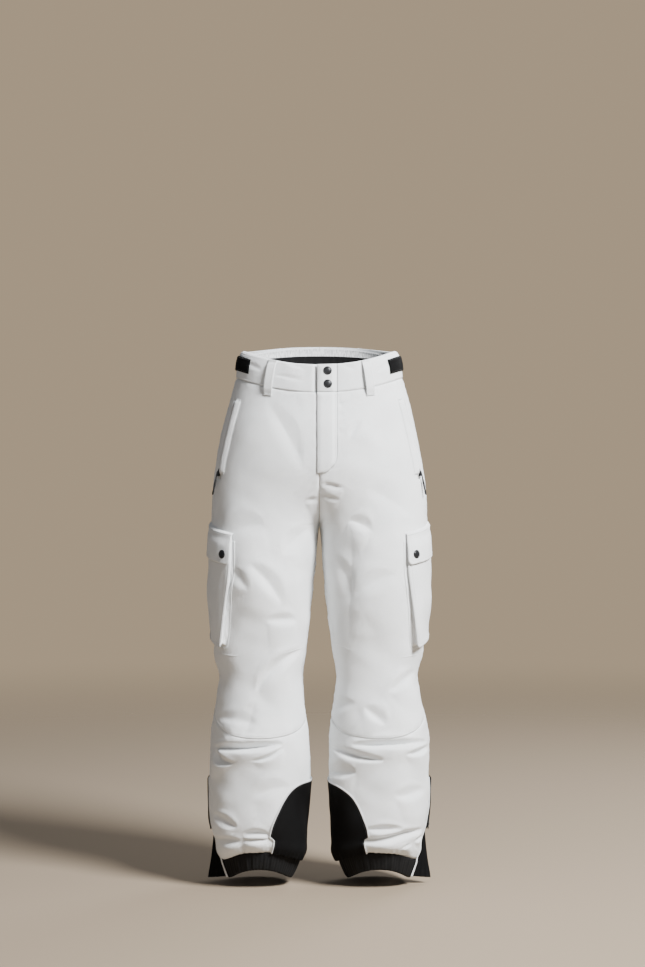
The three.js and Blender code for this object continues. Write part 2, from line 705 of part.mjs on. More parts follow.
function beltLoop(side, u) {
  const foot = [u, LOOP.foot];
  const top = [u, LOOP.top];
  const length = frameLength(foot, top);
  const low = CLEAR;
  const high = LOOP.rise;
  const slope = 5;
  const footEnd = 8;
  const line = [[0, low], [footEnd, low], [footEnd + slope, high], [length - footEnd - slope, high],
    [length - footEnd, low], [length, low]];
  const outline = [
    ...line.map(([z, y]) => new THREE.Vector2(z, y)),
    ...line.reverse().map(([z, y]) => new THREE.Vector2(z, y + LOOP.thick)),
  ];
  const strap = { depth: LOOP.width, bevelEnabled: false };
  const made = new THREE.ExtrudeGeometry(new THREE.Shape(outline), strap);
  const turn = new THREE.Matrix4().makeBasis(
    new THREE.Vector3(0, 0, 1),
    new THREE.Vector3(0, 1, 0),
    new THREE.Vector3(-1, 0, 0),
  );
  return made.translate(0, 0, -LOOP.width / 2).applyMatrix4(turn).applyMatrix4(laidFrame(side, foot, top));
}

function adjusterTab(label, side) {
  const pivot = lifted(side, TAB.back, (TAB.low + TAB.high) / 2, LAY + 1.5);
  const peel = moving(`adjuster_tab_peel_${label}`, pivot, new THREE.Vector3(0, 0, side));
  const tab = sheet(steps(8), steps(1), 1.5, (s, t, depth) => {
    const u = TAB.front + (TAB.back - TAB.front) * s;
    return lifted(side, u, TAB.low + (TAB.high - TAB.low) * t, LAY + 1.5 - depth);
  });
  add(`adjuster_tab_${label}`, tab, BLACK, peel);
}

// ---------- fly ----------
// The x of the J-shaped stitch line at a height.
function stitchX(h) {
  const down = clamp01((FLY_FOOT + FLY_ROUND - h) / FLY_ROUND);
  return FLY_STITCH * Math.sqrt(1 - down * down);
}

const FLY_ROWS = [0.004, 0.02, 0.06, 0.12, 0.19, 0.4, 0.6, 0.8, 1];

// The part of the front that the fly flap takes the place of.
function flyCutter() {
  return between(...[12, -14].map((lift) => [...FLY_ROWS, 1.1].map((t) => [0, 0.35, 0.7, 1].map((s) => {
    const h = FLY_FOOT + (WAIST_SEAM - FLY_FOOT) * t;
    return frontPoint(-8 + (stitchX(h) + GAP + 8) * s, h, lift);
  }))));
}

// The flap overlaps the right front panel and falls to the left one's level at its stitched edge.
function flyLift(x) {
  return FLY_LIFT * (1 - clamp01((x - FLY_PAD_X) / (FLY_STITCH - FLY_PAD_X)));
}

function flyPiece(rows, thick, low, high) {
  return sheet([0, 0.25, 0.5, 0.763, 1], rows, thick, (s, t, depth) => {
    const h = low + (high - low) * t;
    const x = FLY_EDGE + (stitchX(h) - FLY_EDGE) * s;
    return frontPoint(x, h, flyLift(x) - depth);
  });
}

function fly() {
  const hinge = [FLY_FOOT + FLY_ROUND, WAIST_TOP].map((h) => frontPoint(FLY_STITCH, h, 6.5));
  const front = moving("fly_front_turn", hinge[0], hinge[1].clone().sub(hinge[0]));
  add("fly_flap", flyPiece(FLY_ROWS, 2.6, FLY_FOOT, WAIST_SEAM - GAP), WHITE, front);
  add("waist_tab", flyPiece(steps(2), 2.6, WAIST_SEAM + GAP, WAIST_TOP), WHITE, front);
  const snapU = frontU(WAIST_SNAP_X, WAIST_SEAM);
  const tabTop = flyLift(WAIST_SNAP_X);
  WAIST_SNAPS.forEach((h, i) => {
    const cap = turned(CAP).applyMatrix4(spotFrame(1, snapU, h, tabTop));
    add(`waist_snap_cap_${i ? "upper" : "lower"}`, cap, METAL, front);
  });
  add("waist_snap_studs", waistStuds(snapU), METAL);

  const zipU = frontU(FLY_ZIP_X, WAIST_SEAM);
  const [foot, top] = FLY_ZIP.map((h) => [zipU, h]);
  const frame = laidFrame(1, foot, top, -8);
  const length = frameLength(foot, top);
  zip("fly", frame, length, ZIP_TAPE, length - 14, 0);
  const shield = box(44, 1.4, length - 4, 0, -TAPE - CLEAR - 0.7, length / 2);
  add("fly_shield", shield.applyMatrix4(frame), LINER);
}

// The two studs on the tape that reinforces the waistband beneath the tab.
function waistStuds(snapU) {
  const studs = WAIST_SNAPS.map((h) =>
    turned(STUD, 12).applyMatrix4(spotFrame(1, snapU, h, CLEAR - UNDERLAP_DEPTH)));
  const [foot, top] = WAIST_SNAPS.map((h) => [snapU, h]);
  const length = frameLength(foot, top) + 13;
  const tape = box(12, 0.5, length, 0, 0.25 + CLEAR, length / 2 - 6.5);
  return joined([tape.applyMatrix4(laidFrame(1, foot, top, -UNDERLAP_DEPTH)), ...studs]);
}

// ---------- assembly ----------
for (const [label, side] of SIDES) {
  shellPanels(label, side);
  ankle(label, side);
  cargoPocket(label, side);
  handPocket(label, side);
  add(`belt_loop_front_${label}`, beltLoop(side, frontU(LOOP_X.front, WAIST_SEAM)), WHITE);
  add(`belt_loop_back_${label}`, beltLoop(side, 1 - frontU(LOOP_X.back, WAIST_SEAM)), WHITE);
  adjusterTab(label, side);
}
add("waistband_left", leftBand(), WHITE);
add("waistband_right", rightBand(), WHITE);
add("waist_lining", liningBand(), FLEECE);
add("waist_gripper", gripper(), ELASTIC);
fly();

export default whole;
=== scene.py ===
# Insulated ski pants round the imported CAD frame: cloth panels with their folds, seams and stitching, pockets,
# zips, snaps, belt loops, ankle guards and hem bands. Shapes are worked out in millimetres above the lowest
# hem, with +X to the wearer's left and -Y to the front, and put in metres in the row frame as they are made.
import math

import bpy
import numpy as np
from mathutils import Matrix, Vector


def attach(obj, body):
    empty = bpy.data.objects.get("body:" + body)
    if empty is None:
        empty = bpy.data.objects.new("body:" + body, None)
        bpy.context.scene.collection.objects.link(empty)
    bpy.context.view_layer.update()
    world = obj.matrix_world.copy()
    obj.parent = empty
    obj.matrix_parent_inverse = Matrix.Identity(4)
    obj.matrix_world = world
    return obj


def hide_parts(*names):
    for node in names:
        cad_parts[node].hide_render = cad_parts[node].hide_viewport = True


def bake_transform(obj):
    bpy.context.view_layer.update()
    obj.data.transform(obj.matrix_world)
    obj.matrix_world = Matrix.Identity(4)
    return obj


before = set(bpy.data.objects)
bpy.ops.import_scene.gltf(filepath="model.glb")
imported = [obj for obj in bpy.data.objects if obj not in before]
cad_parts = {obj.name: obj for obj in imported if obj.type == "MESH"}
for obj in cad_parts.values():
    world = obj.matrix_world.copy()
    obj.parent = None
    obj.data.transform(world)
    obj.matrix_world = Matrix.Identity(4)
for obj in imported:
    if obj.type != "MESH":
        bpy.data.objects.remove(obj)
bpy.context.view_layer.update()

# ---------- driving dimensions, as in the part ----------
WAIST_TOP, WAIST_SEAM, WAIST_ORIGIN = 1042.0, 988.0, 1015.0
FRONT_DIP, BACK_RISE, SHAPING_FOOT = 32.0, 15.0, 850.0
CROTCH, FRONT_CURVE, BACK_CURVE, LEG_BLEND = 702.0, 130.0, 250.0, 120.0
HEM_ARCH, HEM_BAND, SQUARENESS = 26.0, 36.0, 2.25
OUTER = [(0, 182), (56, 199), (115, 212), (204, 217), (273, 216), (352, 204), (401, 196), (451, 200),
         (550, 207), (702, 213), (800, 207), (900, 188), (945, 177), (988, 165), (1018, 162), (1034, 157),
         (1042, 151)]
INNER = [(0, 52), (56, 30), (115, 24), (204, 18), (273, 20), (352, 29), (401, 34), (451, 27), (550, 15),
         (629, 8), (690, 3), (702, 0)]
FRONT = [(0, 66), (56, 84), (115, 97), (273, 107), (401, 98), (550, 114), (702, 127), (800, 131), (900, 126),
         (988, 114), (1042, 110)]
BACK = [(0, 92), (56, 104), (204, 105), (401, 98), (550, 118), (702, 136), (800, 142), (900, 134),
        (988, 118), (1042, 112)]
CLOTH, BAND, GAP = 3.0, 4.0, 0.3
GUARD_TOP, GUARD_HALF = 197.0, 0.227
HEM_ZIP = (100.0, 196.0)
ZIP_TAPE, ZIP_SLOT, GUSSET_FLARE = 12.4, 13.2, 36.0
POUCH_TOP, POUCH_FOOT, FLAP_TOP, FLAP_DROP = 688.0, 469.0, 697.0, 57.0
POUCH_MOUTH, POUCH_EDGE, POUCH_MIDDLE = 4.5, 16.5, 9.5
POUCH_FRONT, POUCH_BACK = (0.324, 0.376), (0.605, 0.58)
POCKET_TILT, FLAP_THICK, STUD_ROOM, FLAP_REST = 106.0, 1.6, 2.6, 0.7
CARGO_SNAP = (0.358, 643.0)
POCKET_ZIP, WELT_W, WELT_FOOT, WELT_TOP = (790.0, 945.0), 13.0, 798.0, 949.0
WELT_U = (0.356, 0.342)
WAIST_SNAP_X, WAIST_SNAPS = 16.3, (1003.5, 1029.0)
LOOP_X, LOOP_FOOT, LOOP_TOP, LOOP_RISE = (97.0, 78.0), 972.0, 1041.0, 8.5
TAB_U, TAB_H = (0.305, 0.56), (1003.5, 1031.5)
FLY_ZIP_X, FLY_ZIP = 11.0, (814.0, 984.0)
# Short stitched tucks at the knee: x and height of both ends.
KNEE_DARTS = {1: [(35, 466, 63, 457), (159, 444, 190, 446)], -1: [(27, 461, 70, 451), (156, 446, 192, 449)]}
FLY_EDGE, FLY_STITCH, FLY_FOOT, FLY_ROUND, FLY_LIFT, FLY_PAD_X = -4.0, 34.0, 800.0, 36.0, 3.4, 25.0
UNDERLAP_X, UNDERLAP_DEPTH = 28.0, 4.2
SIDES = (("left", 1), ("right", -1))
EYE = (4200.0, 780.0)  # how far in front and how high the camera is, from where FOLDS are laid out


# ---------- small numpy helpers ----------
def smooth(x):
    t = np.clip(x, 0.0, 1.0)
    return t * t * (3 - 2 * t)


def bell(x, width):
    return np.exp(-(x / width) ** 2)


def row_of(count, low=0.0, high=1.0):
    """Even steps along a grid's rows."""
    return np.linspace(low, high, count)[None, :]


def column_of(count, low=0.0, high=1.0):
    """Even steps up a grid's columns."""
    return np.linspace(low, high, count)[:, None]


def through(pairs):
    """A smooth curve through (height, value) pairs."""
    hs = np.array([p[0] for p in pairs], float)
    vs = np.array([p[1] for p in pairs], float)
    ahead = np.append(vs[1:], vs[-1]) - np.append(vs[0], vs[:-1])
    slope = ahead / (np.append(hs[1:], hs[-1]) - np.append(hs[0], hs[:-1]))

    def at(h):
        h = np.clip(h, hs[0], hs[-1])
        i = np.clip(np.searchsorted(hs, h, side="left") - 1, 0, len(hs) - 2)
        span = hs[i + 1] - hs[i]
        t = (h - hs[i]) / span
        ease = smooth(t)
        return (vs[i] * (1 - ease) + vs[i + 1] * ease + slope[i] * span * t * (1 - t) ** 2
                - slope[i + 1] * span * t * t * (1 - t))
    return at


outer_at, inner_at, front_at, back_at = (through(p) for p in (OUTER, INNER, FRONT, BACK))


def squared(x):
    return np.sign(x) * np.abs(x) ** (2 / SQUARENESS)


# ---------- the skin: the outer surface of the shell ----------
def height_shift(u, h):
    rise = smooth((h - SHAPING_FOOT) / (WAIST_SEAM - SHAPING_FOOT))
    waist = np.where(u < 0.5, -FRONT_DIP, BACK_RISE) * np.cos(np.pi * u) ** 2 * rise
    arch = np.where(u < 0.5, HEM_ARCH * np.sin(2 * np.pi * u) ** 2, 0)
    return waist + arch * (1 - smooth((h - HEM_BAND) / 120))


def leg_share(u, h):
    curve = FRONT_CURVE + (BACK_CURVE - FRONT_CURVE) * smooth(u)
    above = 1 - np.clip((h - CROTCH) / curve, 0, 1)
    at_seam = np.where(h <= CROTCH, 1.0, 1 - np.sqrt(1 - above * above))
    gradual = smooth((CROTCH + LEG_BLEND - h) / (2 * LEG_BLEND))
    near_seam = bell(np.sin(np.pi * u), 0.16)
    return gradual + (at_seam - gradual) * near_seam


def skin(u, h):
    """Points of the wearer's left half: u from the centre front or inseam (0), round the side (0.5), to 1."""
    u, h = np.broadcast_arrays(np.asarray(u, float), np.asarray(h, float))
    u = np.where(u == 1, 1.0, u - np.floor(u))
    outer = outer_at(h)
    inner = np.where(h < CROTCH, inner_at(h), 0.0)
    middle = (back_at(h) - front_at(h)) / 2
    depth = (back_at(h) + front_at(h)) / 2
    turn = 2 * np.pi * (u - 0.5)
    leg_x = (outer + inner) / 2 + (outer - inner) / 2 * squared(np.cos(turn))
    leg_y = depth * squared(np.sin(turn))
    trunk_x = outer * squared(np.cos(turn / 2))
    trunk_y = depth * squared(np.sin(turn / 2))
    w = leg_share(u, h)
    return np.stack([trunk_x + (leg_x - trunk_x) * w, middle + trunk_y + (leg_y - trunk_y) * w,
                     h + height_shift(u, h)], axis=-1)


def unit(v):
    return v / np.maximum(np.linalg.norm(v, axis=-1, keepdims=True), 1e-9)


def outward(u, h):
    u, h = np.broadcast_arrays(np.asarray(u, float), np.asarray(h, float))
    step = 0.004
    trunk = h >= CROTCH
    low = np.where(trunk, np.maximum(0, u - step), u - step)
    high = np.where(trunk, np.minimum(1, u + step), u + step)
    return unit(np.cross(skin(high, h) - skin(low, h), skin(u, h + 2) - skin(u, h - 2)))


def share(mm, u, h):
    """The step in u that makes this many millimetres along the girth."""
    step = mm / 600 + np.zeros(np.broadcast(u, h).shape)
    for _ in range(4):
        step = step * abs(mm) / np.linalg.norm(skin(u + step, h) - skin(u, h), axis=-1)
    return step


def front_u(x, h):
    return np.arcsin(np.clip(np.abs(x) / outer_at(h), 0, 1) ** (SQUARENESS / 2)) / np.pi


def mirrored(points, side):
    return points * np.array([side, 1.0, 1.0])


def by_sign(points, sign_of):
    """Points of the left half, moved to the right where sign_of is negative."""
    one = np.ones_like(sign_of)
    return points * np.stack([np.where(sign_of < 0, -1.0, 1.0), one, one], axis=-1)


def lifted(side, u, h, lift=0.0):
    p = skin(u, h) + outward(u, h) * np.asarray(lift, float)[..., None]
    return mirrored(p, side)


def front_point(x, h, lift=0.0):
    """A lifted point of the trunk's front, by its x."""
    x, h, lift = np.broadcast_arrays(np.asarray(x, float), np.asarray(h, float), np.asarray(lift, float))
    return by_sign(lifted(1, front_u(x, h), h, lift), x)


# ---------- folds ----------
# Each fold of the front: x and height of its inner and outer end, how far its middle is raised, the widths of
# the slope above and of the steep one below, its depth, and the height of the puffed cloth beside it.
FOLDS = {
    1: [
        (66, 262, 212, 268, -4, 15, 5, 15, 7), (24, 258, 128, 232, -8, 16, 5, 11, 5),
        (16, 211, 72, 208, -3, 24, 9, 8.4, 5.2), (170, 244, 219, 261, -5, 11, 5, 8.4, 5.2),
        (90, 337, 132, 305, -2, 20, 10, 6, 3.9), (95, 95, 164, 98, -2, 12, 5, 8.4, 5.2),
        (82, 72, 205, 96, -5, 13, 6, 10.8, 6.5), (186, 72, 208, 84, 0, 6, 4, 4.8, 3.9),
        (160, 60, 176, 70, 0, 4, 3, 3.6, 2.6),
        (58, 706, 104, 686, 4, 20, 12, 4.8, 3.9), (57, 470, 64, 690, 0, 30, 24, 4.2, 2.6),
        (138, 368, 190, 410, -3, 16, 10, 4.8, 3.9), (5, 780, 50, 770, 0, 7, 5, 4.8, 2.6),
        (5, 757, 40, 748, 0, 7, 5, 3.6, 2.6),
        (60, 872, 82, 905, 0, 13, 9, 2.6, 1.3), (70, 560, 150, 600, 6, 26, 20, 3.6, 2.6),
        (20, 330, 70, 346, 3, 16, 12, 3.6, 2.6),
        (150, 160, 208, 176, -4, 18, 12, 4.8, 3.9), (24, 640, 60, 560, 4, 20, 16, 3.6, 2.6),
        (96, 770, 180, 720, 4, 34, 24, 3, 1.3),
    ],
    -1: [
        (73, 264, 209, 256, -6, 18, 5, 17, 8), (73, 258, 131, 232, -7, 9, 4, 9, 4),
        (169, 226, 206, 256, -13, 13, 6, 10.8, 6.5), (128, 345, 148, 268, 0, 34, 16, 3.6, 2),
        (100, 85, 150, 84, 1, 13, 3.5, 7.2, 5.2), (101, 76, 151, 75, 1, 4, 6, 7.2, 5.2),
        (164, 99, 206, 128, -4, 13, 8, 7.2, 5.2), (154, 72, 212, 80, -3, 11, 7, 7.2, 5.2),
        (140, 571, 172, 611, 0, 18, 13, 4.4, 2.8), (75, 544, 137, 620, 5, 24, 16, 7.2, 3.9),
        (46, 511, 104, 509, 0, 16, 12, 6, 3.9), (38, 451, 123, 369, 8, 18, 11, 7.2, 5.2),
        (2, 751, 28, 745, 0, 7, 5, 3.6, 2.6), (18, 798, 104, 948, 0, 30, 22, 3.6, 2.6),
        (120, 300, 205, 316, 4, 18, 12, 3.2, 2.4),
        (24, 690, 70, 640, 4, 22, 16, 3.6, 2.6), (60, 180, 130, 160, 4, 24, 18, 3.6, 2.6),
        (110, 700, 190, 680, 4, 34, 24, 3.6, 2.6),
    ],
}
# The same for the back, alike on both legs, and for the front of the waistband.
BACK_FOLDS = [
    (36, 408, 176, 396, -9, 17, 7, 10, 6), (44, 380, 150, 366, 6, 15, 8, 7, 4),
    (60, 434, 190, 442, 5, 15, 9, 6, 4), (60, 258, 200, 250, -6, 17, 6, 10, 6),
    (34, 236, 132, 222, 5, 13, 6, 7, 4), (10, 760, 96, 700, 8, 26, 12, 8, 5),
    (20, 812, 120, 770, 8, 28, 16, 5, 3), (40, 640, 150, 600, 6, 24, 14, 5, 3),
    (70, 96, 180, 84, -5, 13, 6, 8, 5), (40, 560, 120, 500, 5, 26, 18, 4, 2),
    (80, 520, 180, 560, -5, 26, 18, 3, 2), (30, 130, 120, 150, 5, 18, 12, 4, 3),
    (110, 340, 190, 322, 4, 18, 10, 5, 3), (20, 310, 90, 318, 3, 18, 10, 4, 3),
]
BAND_FOLDS = {
    1: [(44, 1008, 70, 1001, 0, 7, 6, 1.2, 0.8), (110, 996, 140, 1018, 0, 8, 6, 1.3, 0.8)],
    -1: [(8, 990, 66, 1014, 3, 8, 6, 2.4, 1.6), (18, 976, 86, 990, 0, 7, 5, 1.4, 1),
         (112, 1000, 140, 1014, 0, 8, 6, 1.3, 0.8)],
}


def crease(x, z, fold):
    """How far one fold moves points at x and height z: the cloth tucks in at it and puffs out beside it."""
    x0, z0, x1, z1, bow, above, below, depth, ridge = fold
    along = np.array([x1 - x0, z1 - z0], float)
    length = np.hypot(*along)
    ax, az = along / length
    t = ((x - x0) * ax + (z - z0) * az) / length
    off = (z - z0) * ax - (x - x0) * az - 4 * bow * t * (1 - t)
    fade = np.sin(np.pi * np.clip(t, 0, 1)) ** 0.7
    upper = above * (0.35 + 0.65 * fade)
    lower = below * (0.5 + 0.5 * fade)
    tuck = np.where(off > 0, np.clip(1 - off / upper, 0, 1) ** 1.25, np.clip(1 + off / lower, 0, 1) ** 1.5)
    lip = off + 1.6 * lower
    puff = bell(lip, np.where(lip > 0, 1.2, 4.5) * lower) + 0.4 * bell(off - 1.15 * upper, 0.5 * upper)
    return fade * (ridge * puff - depth * tuck)


def ripples(p, seed, wavelength, count=14):
    """Seeded soft unevenness: a sum of waves in all directions."""
    rng = np.random.default_rng(seed)
    total = np.zeros(p.shape[:-1])
    for _ in range(count):
        way = unit(rng.normal(size=3))
        length = wavelength * rng.uniform(0.7, 1.6)
        total += np.sin(2 * np.pi * (p @ way) / length + rng.uniform(0, 6.28))
    return total / math.sqrt(count)


def relief(side, u, h):
    """How far the cloth stands off the even skin: folds, soft unevenness and gathers over the hem band."""
    p = skin(u, h)
    facing = outward(u, h)[..., 1]
    front = smooth(-facing / 0.45)
    back = smooth(facing / 0.45)
    move = np.zeros(p.shape[:-1])
    near = EYE[0] / (EYE[0] + p[..., 1])
    x, z = p[..., 0] * near, EYE[1] + (p[..., 2] - EYE[1]) * near
    for fold in FOLDS[side]:
        move += front * crease(x, z, fold)
    for fold in BACK_FOLDS:
        move += back * crease(p[..., 0], p[..., 2], fold)
    q = mirrored(p, side)
    leg = smooth((760 - h) / 200)
    move += ripples(q, 11, 130.0) * (0.9 + 1.5 * leg) + ripples(q, 12, 48.0) * (0.25 + 0.35 * leg)
    around = np.asarray(u) * 2 * np.pi
    gather = np.sin(61 * around + 3 * np.sin(5 * around)) + 0.6 * np.sin(37 * around + 2)
    move += 0.7 * gather * bell(h - 40, 8) + 3.0 * bell(h - 55, 12)
    move += 5.0 * bell(h - 448, 34) * smooth((outward(u, h)[..., 0] - 0.2) / 0.6)
    calm = smooth((44 - p[..., 0]) / 16) * smooth((h - 785) / 24) * front
    return move * (0.12 + 0.88 * smooth((1000 - h) / 90)) * (1 - 0.85 * calm)


def band_relief(side, u, h):
    """The same for the waistband, which is stiffer."""
    p = skin(u, h)
    move = ripples(mirrored(p, side), 31, 90.0) * 0.45
    front = smooth(-outward(u, h)[..., 1] / 0.45)
    for fold in BAND_FOLDS[side]:
        move += front * crease(p[..., 0], p[..., 2], fold)
    return move


# ---------- meshes ----------
ROOT = "pants"


def to_row(points):
    return (np.asarray(points, float) - np.array([0.0, 0.0, WAIST_ORIGIN])) / 1000.0


def facing_out(points, faces):
    """The same faces, all turned over if they enclose a negative volume."""
    points = np.asarray(points, float)
    quads = np.array([f for f in faces if len(f) == 4])
    if not len(quads):
        return faces
    a, b, c, d = (points[quads[:, k]] for k in range(4))
    volume = np.sum(a * np.cross(b, c)) + np.sum(a * np.cross(c, d))
    for face in faces:
        if len(face) != 4:
            hub = points[face[0]]
            volume += sum(np.dot(hub, np.cross(points[i], points[j])) for i, j in zip(face[1:], face[2:]))
    return faces if volume > 0 else [face[::-1] for face in faces]


def new_object(name, points, faces, material, sharp_rim=None):
    mesh = bpy.data.meshes.new(name)
    mesh.from_pydata(to_row(points).tolist(), [], facing_out(points, faces))
    mesh.materials.append(material)
    mesh.polygons.foreach_set("use_smooth", [True] * len(mesh.polygons))
    if sharp_rim is not None:
        keys = np.zeros(2 * len(mesh.edges), int)
        mesh.edges.foreach_get("vertices", keys)
        sharp = mesh.attributes.new("sharp_edge", "BOOLEAN", "EDGE")
        sharp.data.foreach_set("value", np.isin(keys.reshape(-1, 2), sharp_rim).all(axis=1))
    mesh.update()
    obj = bpy.data.objects.new(name, mesh)
    bpy.context.collection.objects.link(obj)
    return obj


def grid_faces(rows, cols, offset=0, flip=False, wrap=False):
    r, c = np.meshgrid(np.arange(rows - 1), np.arange(cols if wrap else cols - 1), indexing="ij")
    a, b = r * cols + c, r * cols + (c + 1) % cols
    quads = np.stack([a, b, b + cols, a + cols], axis=-1).reshape(-1, 4) + offset
    return (quads[:, ::-1] if flip else quads).tolist()


def cloth(name, face, lining, material):
    """A closed piece of cloth between two grids of points, with a rim that keeps its edge crisp."""
    rows, cols = face.shape[:2]
    count = rows * cols
    ids = np.arange(count).reshape(rows, cols)
    ring = np.concatenate([ids[0, :], ids[1:, -1], ids[-1, -2::-1], ids[-2:0:-1, 0]])
    faces = grid_faces(rows, cols, 0) + grid_faces(rows, cols, count, flip=True)
    nxt = np.roll(ring, -1)
    rim = np.stack([ring, ring + count, nxt + count, nxt], axis=-1)
    faces += rim.tolist()
    points = np.concatenate([face.reshape(-1, 3), lining.reshape(-1, 3)])
    return new_object(name, points, faces, material, ring + count)


def place(piece, body=ROOT, replaces=()):
    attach(piece, body)
    if replaces:
        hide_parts(*replaces)
    return piece


def laid_cloth(name, side, u, h, lifts, material, slot, replaces=(), body=ROOT):
    """Cloth between two lifts off the skin: that of its face and that of its lining."""
    face, lining = (lifted(side, u, h, lift) for lift in lifts)
    return place(cloth(name, face, lining, material), body, replaces)


def edge_tuck(grid, depths, width=3.2):
    """How far a piece's outer face sinks towards its edges, and how far each point is from a sewn edge.
    depths gives each sewn edge's sink, by its name: left, right, low and high."""
    along_rows = np.linalg.norm(np.diff(grid, axis=0), axis=-1)
    along_cols = np.linalg.norm(np.diff(grid, axis=1), axis=-1)
    up = np.concatenate([np.zeros((1, grid.shape[1])), np.cumsum(along_rows, axis=0)])
    across = np.concatenate([np.zeros((grid.shape[0], 1)), np.cumsum(along_cols, axis=1)], axis=1)
    far = {"low": up, "high": up[-1:] - up, "left": across, "right": across[:, -1:] - across}
    nearest = np.full(grid.shape[:2], 1e6)
    sink = np.zeros(grid.shape[:2])
    for edge, depth in depths.items():
        nearest = np.minimum(nearest, far[edge])
        sink = np.maximum(sink, depth * np.exp(-(far[edge] / width) ** 1.3))
    return sink, nearest


SEWN = {"left": 1.5, "right": 1.5, "low": 1.5, "high": 1.5}


def panel(name, side, u, h, replaces, depths=SEWN, grooved=False):
    """A sewn panel of the shell over a grid of u and h."""
    even = lifted(1, u, h)
    normal = outward(u, h)
    sink, nearest = edge_tuck(even, depths)
    pucker = ripples(mirrored(even, side), 21, 15.0) * 0.4 * bell(nearest - 6, 8)
    move = relief(side, u, h) + pucker - sink
    if grooved:
        move = move - slot_groove(side, mirrored(even + normal * move[..., None], side))
    face = even + normal * move[..., None]
    lining = even + normal * (np.minimum(move, 4.0) - CLOTH)[..., None]
    for grid in (face, lining):
        grid[..., 0] = np.where(h >= CROTCH - 1, np.maximum(grid[..., 0], GAP), grid[..., 0])
    piece = cloth(name, mirrored(face, side), mirrored(lining, side), SHELL)
    return place(piece, ROOT, replaces)


# ---------- materials ----------
def nodes_of(name):
    material = bpy.data.materials.new(name)
    material.use_nodes = True
    tree = material.node_tree
    return material, tree, tree.nodes["Principled BSDF"]


def add_node(tree, kind, *values, operation=None, **sockets):
    """A new shader node. Its sockets, in order or by name with _ for a space, take values or outputs."""
    made = tree.nodes.new(f"ShaderNode{kind}")
    if operation:
        made.operation = operation
    named = [(made.inputs[name.replace("_", " ")], value) for name, value in sockets.items()]
    for socket, value in [*zip(made.inputs, values), *named]:
        if isinstance(value, bpy.types.NodeSocket):
            tree.links.new(value, socket)
        else:
            socket.default_value = value
    return made


def noise(tree, scale, detail=2.0, stretch=(1, 1, 1)):
    coords = add_node(tree, "TexCoord").outputs["Object"]
    mapped = add_node(tree, "Mapping", coords, Scale=stretch).outputs["Vector"]
    return add_node(tree, "TexNoise", mapped, Scale=scale, Detail=detail).outputs["Fac"]


def weave(tree, pitch_mm, way):
    """Threads of this pitch, as a wave across the given direction of the object's own space."""
    coords = add_node(tree, "TexCoord").outputs["Object"]
    turns = [2 * math.pi * 1000 / pitch_mm * w for w in way]
    phase = add_node(tree, "VectorMath", coords, turns, operation="DOT_PRODUCT").outputs["Value"]
    return add_node(tree, "Math", phase, operation="SINE").outputs["Value"]


def combine(tree, a, b, operation="ADD"):
    return add_node(tree, "Math", a, b, operation=operation).outputs["Value"]


def ramp(tree, value, low, high, at=(0.3, 0.7)):
    node = add_node(tree, "ValToRGB", value)
    for element, colour, place_at in zip(node.color_ramp.elements, (low, high), at):
        element.color = (*colour, 1)
        element.position = place_at
    return node.outputs["Color"]


def bump(tree, shader, height, distance_mm):
    normal = shader.inputs["Normal"]
    node = add_node(tree, "Bump", Distance=distance_mm / 1000, Height=height)
    if normal.links:
        tree.links.new(normal.links[0].from_socket, node.inputs["Normal"])
    tree.links.new(node.outputs["Normal"], normal)


def rough_by(tree, shader, value, low, high):
    node = add_node(tree, "MapRange", value, To_Min=low, To_Max=high)
    tree.links.new(node.outputs["Result"], shader.inputs["Roughness"])


def fabric(name, dark, light, roughness, grain_mm=0.9, grain_depth=0.12, sheen=0.15, soft_mm=9.0,
           soft_depth=0.35, shine=0.3):
    """Woven face fabric: fine threads both ways, a soft hand-feel unevenness and faint tone variation."""
    material, tree, shader = nodes_of(name)
    tone = combine(tree, noise(tree, 14, 4), combine(tree, noise(tree, 420, 2), 0.35, "MULTIPLY"))
    tree.links.new(ramp(tree, tone, dark, light, (0.5, 0.85)), shader.inputs["Base Color"])
    warp, weft = (weave(tree, grain_mm, way) for way in ((0.6, 0.35, 0.72), (-0.62, 0.3, 0.72)))
    threads = combine(tree, warp, weft)
    fine = combine(tree, threads, combine(tree, noise(tree, 1000 / grain_mm, 1), 2.4, "MULTIPLY"))
    bump(tree, shader, fine, grain_depth)
    bump(tree, shader, noise(tree, 1000 / soft_mm, 3), soft_depth)
    rough_by(tree, shader, noise(tree, 60, 3), roughness - 0.06, roughness + 0.06)
    shader.inputs["Sheen Weight"].default_value = sheen
    shader.inputs["Sheen Roughness"].default_value = 0.45
    shader.inputs["Specular IOR Level"].default_value = shine
    return material


def fleece():
    """Brushed knit lining: upright ribs with a mottled pile."""
    material, tree, shader = nodes_of("brushed_lining")
    tone = noise(tree, 160, 4, (3.0, 3.0, 0.7))
    colour = ramp(tree, tone, (0.47, 0.48, 0.49), (0.80, 0.81, 0.81), (0.36, 0.6))
    tree.links.new(colour, shader.inputs["Base Color"])
    bump(tree, shader, noise(tree, 520, 4, (2.0, 2.0, 0.6)), 0.9)
    rough_by(tree, shader, noise(tree, 90, 2), 0.88, 1.0)
    shader.inputs["Sheen Weight"].default_value = 0.5
    return material


def ribbed(name, colour, light, pitch_mm, depth_mm):
    """Elastic with fine lengthwise ribs and a soft unevenness."""
    material, tree, shader = nodes_of(name)
    tone = noise(tree, 300, 3)
    tree.links.new(ramp(tree, tone, colour, light), shader.inputs["Base Color"])
    bump(tree, shader, weave(tree, pitch_mm, (0, 0, 1)), depth_mm)
    bump(tree, shader, noise(tree, 700, 2), 0.25)
    rough_by(tree, shader, tone, 0.72, 0.9)
    shader.inputs["Specular IOR Level"].default_value = 0.2
    return material


